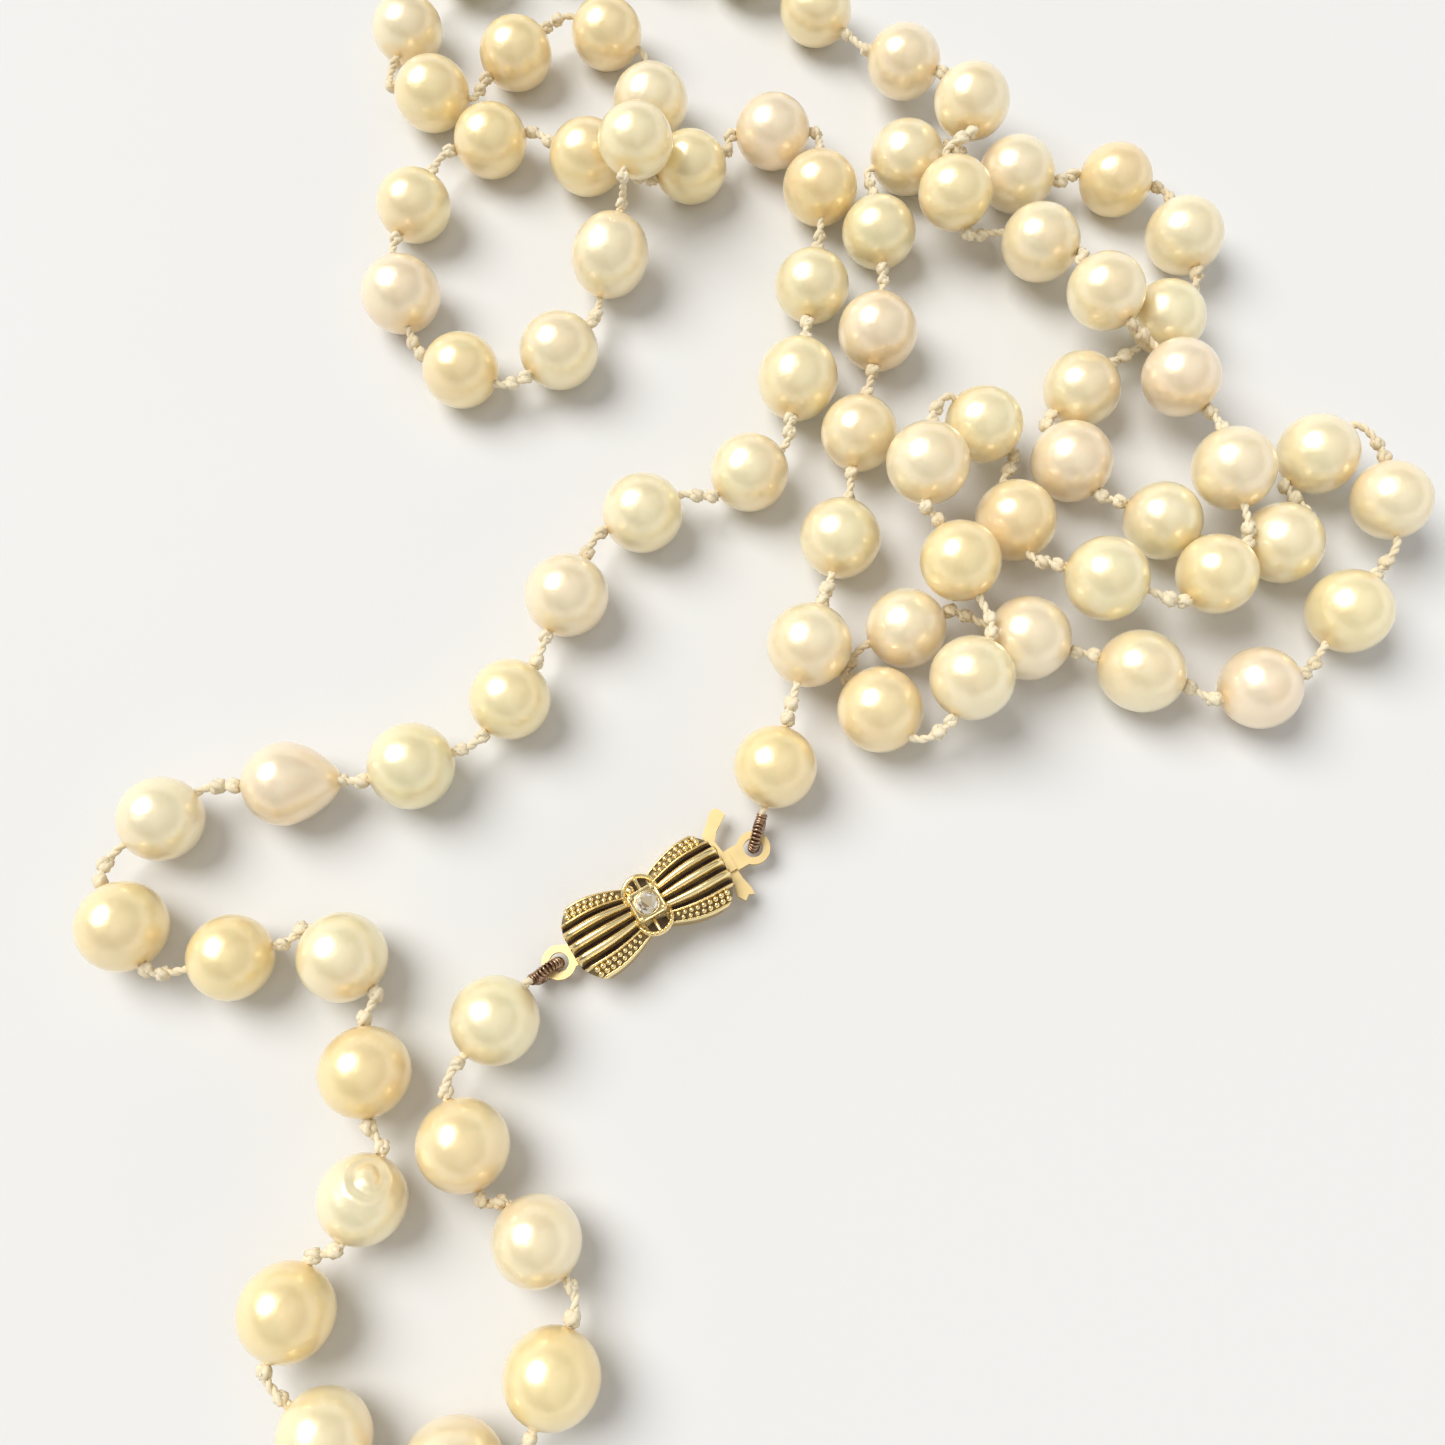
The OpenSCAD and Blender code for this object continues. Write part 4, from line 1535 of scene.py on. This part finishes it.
    def _bead_spots(self) -> list[Spot]:
        """Places two rows of beads in each edge panel, and single beads at the loops.

        Returns:
            The spots of the beads.
        """
        spots = []
        inner, outer = self.panel
        rows = [inner + (outer - inner) * share for share in self.bead_rows]
        for side in (-1, 1):
            for flank in (-1, 1):
                for n, row in enumerate(rows):
                    count = self.beads_in_row - n
                    for j in range(count):
                        u = self.bead_from + self.bead_run * (j + 0.5 * n) / (count - 0.5)
                        x, y, z = self.lobe_point(side, u, flank * row)
                        size = self.bead_d / 2 * (self.bead_least + (1 - self.bead_least) * u)
                        place = self.world((x, y, z + self.bead_lift))
                        spots.append((place, UNTURNED, (size,) * 3, 0.0))
        small, large = (self.loop_bead_r,) * 3, (self.end_bead_r,) * 3
        for j in range(1, self.loop_beads + 1):
            t = math.pi * j / (self.loop_beads + 1)
            x, y = self.loop_r * math.cos(t), self.loop_y + self.loop_r * math.sin(t)
            z = self.case_h + self.loop_bead_h + self.loop_rise * math.sin(t)
            spots.append((self.world((x, -y, z)), UNTURNED, small, 0.0))
        x, y, z = self.end_bead
        spots.append((self.world((x, y, self.case_h + z)), UNTURNED, large, 0.0))
        return spots

    def _band(self) -> bpy.types.Mesh:
        """Makes the saddle under the setting that ties the two lobes together.

        Returns:
            The mesh.
        """
        rows, steps, half = [], 16, self.band_half
        turns = [math.pi * q / steps for q in range(steps + 1)]
        for a in range(steps + 1):
            x = -half + 2 * half * a / steps
            wide = self.band_w - self.band_pinch * math.cos(math.pi * x / half)
            high = self.band_h + self.band_crown * math.cos(math.pi * x / (2 * half))
            rows.append([
                self.world((
                    x, wide * math.cos(t), self.case_h + high * math.sin(t) ** self.band_round))
                for t in turns])
        mesh = grid_mesh("band", rows)
        # painted shade: the whole saddle is darkened, as it lies under the setting
        return self._gilded(mesh, [0.45] * len(mesh.vertices))

    def cover(self) -> None:
        """Builds the bow with its lobes, band, loops and beads."""
        parts = [self._lobe(-1), self._lobe(1), self._band(), *self._loop(-1), *self._loop(1)]
        parts.append(self._beaded(self._bead_spots(), "beads"))
        new_piece(joined("bow", parts), "bow", "clasp", "bow_cover")

    def setting(self) -> None:
        """Builds the square setting with its rim, corner beads and round opening."""
        half, top = self.collet_w / 2, self.case_h + self.collet_top
        count, power = 40, 14.0

        def ring(size: float, z: float, square: float) -> list[Point]:
            """A row of points, square or round.

            Args:
                size: Half the width of the row.
                z: Its height.
                square: 1 for square, 0 for round.

            Returns:
                The points, in order.
            """
            places = []
            for j in range(count):
                t = 2 * math.pi * (j + 0.5) / count
                c, s = math.cos(t), math.sin(t)
                r = (abs(c) ** power + abs(s) ** power) ** (-1 / power)
                reach = size * (square * r + (1 - square))
                places.append(self.world((reach * c, reach * s, z)))
            return places

        inner = self.stone_d / 2
        # The darkness in the profile is painted shade: low on the sides, just inside the rim and down
        # in the cone under the stone.
        profile = (  # size, height, 1 for square or 0 for round, darkness
            (half * 0.9, self.case_h + 0.4, 1, 0.4), (half * 0.92, top - 0.45, 1, 0.2),
            (half, top - 0.2, 1, 0.0), (half, top, 1, 0.0), (half * 0.95, top + 0.06, 1, 0.0),
            (half * 0.84, top - 0.14, 1, 0.75), (inner + 0.1, top - 0.1, 0, 0.5),
            (inner + 0.04, top - 0.02, 0, 0.0), (inner + 0.01, top - 0.06, 0, 0.1),
            (inner * 0.6, top - 0.45, 0, 0.1), (inner * 0.1, top - 0.8, 0, 0.1))
        rows = [ring(size, z, square) for size, z, square, _ in profile]
        mesh = grid_mesh("setting", rows)
        self._gilded(mesh, [dark for *_, dark in profile for _ in range(count)])
        corner = half * 0.78
        spots = [
            (self.world((x * corner, y * corner, top)), UNTURNED, (0.19, 0.19, 0.16), 0.0)
            for x in (-1, 1) for y in (-1, 1)]
        beads = self._beaded(spots, "corner_beads")
        new_piece(joined("setting", [mesh, beads]), "setting", "clasp", "stone_collet")

    def gem(self) -> None:
        """Builds the old-cut stone: table, star, crown, girdle and pavilion facets."""
        r, girdle = self.stone_d / 2, self.case_h + self.collet_top - 0.05
        levels = (  # share of the radius, height, corners, turn in corners
            (0.5, 0.34, 8, 0.0), (0.78, 0.22, 8, 0.5), (1.0, 0.03, 16, 0.0),
            (1.0, -0.02, 16, 0.0), (0.55, -0.36, 8, 0.5), (0.08, -0.7, 8, 0.0))
        made = bmesh.new()
        for share, z, count, shift in levels:
            for j in range(count):
                t = 2 * math.pi * (j + shift) / count
                place = self.world((share * r * math.cos(t), share * r * math.sin(t), girdle + z))
                made.verts.new(tuple(place * MM))
        bmesh.ops.convex_hull(made, input=made.verts)
        bmesh.ops.recalc_face_normals(made, faces=made.faces)
        mesh = bpy.data.meshes.new("gem")
        made.to_mesh(mesh)
        made.free()
        # painted reflections: each facet gets a random level of white, champagne or brown
        draw, facet_light_levels = random.Random(self.seed), (0.1, 0.4, 0.6, 0.8, 1.0)
        store(mesh, "fire", "FACE", [draw.choice(facet_light_levels) for _ in mesh.polygons])
        mesh.materials.append(self.stone)
        new_piece(mesh, "gem", "clasp", "stone")

    def build(self) -> None:
        """Builds the clasp's visible pieces."""
        self.cover()
        self.setting()
        self.gem()


# Stage


@dataclass(frozen=True)
class Lamp:
    """A soft far lamp: where its light comes from, its strength and its angle in degrees."""

    name: str
    place: tuple[float, float, float]
    power: float
    spread: float
    colour: Colour

    def build(self) -> None:
        """Adds the lamp to the scene."""
        data = bpy.data.lights.new(self.name, "SUN")
        data.energy, data.angle, data.color = self.power, math.radians(self.spread), self.colour
        lamp = bpy.data.objects.new(self.name, data)
        lamp.location = self.place
        lamp.rotation_euler = (-Vector(self.place)).to_track_quat("-Z", "Y").to_euler()
        bpy.context.scene.collection.objects.link(lamp)


@dataclass
class Stage:
    """Camera, floor and light. Lengths of the camera are in millimetres, of the floor in metres."""

    lens: float = 36.05
    sensor: float = 36.0
    elevation: float = 72.0
    distance: float = 111.5
    aim: tuple[float, float, float] = (-4.6, -13.1, 3.25)
    floor_half: float = 4.0
    floor_colour: Colour = (0.76, 0.76, 0.755)
    lamps: tuple[Lamp, ...] = (
        Lamp("window", (-0.24, 0.14, 0.38), 2.8, 42.0, (1.0, 0.99, 0.97)),
        Lamp("fill", (0.4, -0.15, 0.35), 0.6, 100.0, (1.0, 0.98, 0.95)),
    )
    sky: tuple[tuple[float, float], ...] = (
        (0.0, 0.85), (0.3, 0.8), (0.45, 0.15), (0.6, 0.15), (1.0, 0.4))

    def camera(self) -> None:
        """Puts the camera at the photograph's viewing angle."""
        aim = Vector(self.aim) * MM
        tilt = math.radians(self.elevation)
        away = Vector((0, -math.cos(tilt), math.sin(tilt))) * self.distance * MM
        data = bpy.data.cameras.new("camera")
        data.lens, data.sensor_width, data.clip_start = self.lens, self.sensor, 5 * MM
        camera = bpy.data.objects.new("camera", data)
        camera.location = aim + away
        camera.rotation_euler = Euler((math.pi / 2 - tilt, 0, 0))
        bpy.context.scene.collection.objects.link(camera)
        bpy.context.scene.camera = camera

    def _floor(self) -> None:
        """Builds the plain floor."""
        half = self.floor_half
        corners = [(-half, -half, 0), (half, -half, 0), (half, half, 0), (-half, half, 0)]
        mesh = bpy.data.meshes.new("floor")
        mesh.from_pydata(corners, [], [(0, 1, 2, 3)])
        finish = Finish("floor", {
            "Base Color": (*self.floor_colour, 1.0), "Specular IOR Level": 0.2})
        finish.feed("Roughness", finish.noise(60.0) * 0.1 + 0.6)
        mesh.materials.append(finish.material)
        floor = bpy.data.objects.new("floor", mesh)
        bpy.context.scene.collection.objects.link(floor)

    def _world(self) -> None:
        """Builds the sky, pale at the horizon so that every side view has a plain background."""
        world = bpy.data.worlds.new("studio")
        world.use_nodes = True
        graph = Graph(world.node_tree)
        way = graph.node("ShaderNodeTexCoord", {}, {}).out("Generated")
        height = graph.node("ShaderNodeSeparateXYZ", {}, {0: way}).out("Z")
        stops = [(place, (grey,) * 3) for place, grey in self.sky]
        glow = graph.node("ShaderNodeValToRGB", {"stops": stops}, {0: height})
        world.node_tree.links.new(glow.socket, world.node_tree.nodes["Background"].inputs["Color"])
        bpy.context.scene.world = world

    def build(self) -> None:
        """Builds the floor, the lamps and the world."""
        self._floor()
        for lamp in self.lamps:
            lamp.build()
        self._world()
        bpy.context.scene.view_settings.view_transform = "Standard"


def dress(frame: dict[str, Any], nodes: Sequence[str], material: bpy.types.Material) -> None:
    """Gives construction nodes that stay in view a finish.

    Args:
        frame: The loaded construction.
        nodes: Names of the nodes.
        material: The finish.
    """
    for name in nodes:
        slots = frame["nodes"][name].data.materials
        slots.clear()
        slots.append(material)


def main() -> None:
    """Builds the strand, the clasp and the stage."""
    logging.basicConfig(level=logging.INFO, format="%(name)s %(message)s")
    layout = Layout()
    stage = Stage()
    stage.camera()
    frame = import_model()
    gold = Gold().build()
    # painted shade: a darker, rougher copy of the gold for the box and the tongue
    shaded_plate = Gold("plate_gold", (0.80, 0.62, 0.31), rub=0.16, roughness=0.3, paints_shade=False).build()
    silk_finish, coil_finish = SilkThread().build(), GimpWire().build()
    Pearls(layout, Nacre().build()).build()
    gimp = Gimp(layout, coil_finish)
    end = layout.count - 1
    near = (layout.eye(-layout.case_eye), layout.bend(0, False))
    far = (layout.eye(layout.tongue_eye), layout.bend(end, True))
    gimp.build(*near, "gimp_box_end", "link_1")
    gimp.build(*far, "gimp_tongue_end", "strand")
    silk = Silk(layout, silk_finish)
    silk.build({
        0: np.array([layout.pole(0, False, silk.hidden), near[1], gimp.end(*near)]),
        end: np.array([layout.pole(end, True, silk.hidden), far[1], gimp.end(*far)]),
    })
    BowClasp(layout, gold, CutStone().build()).build()
    dress(frame, ["clasp_box", "box_eyelet", "tongue", "tongue_spring"], shaded_plate)
    stage.build()


if __name__ == "__main__":
    main()
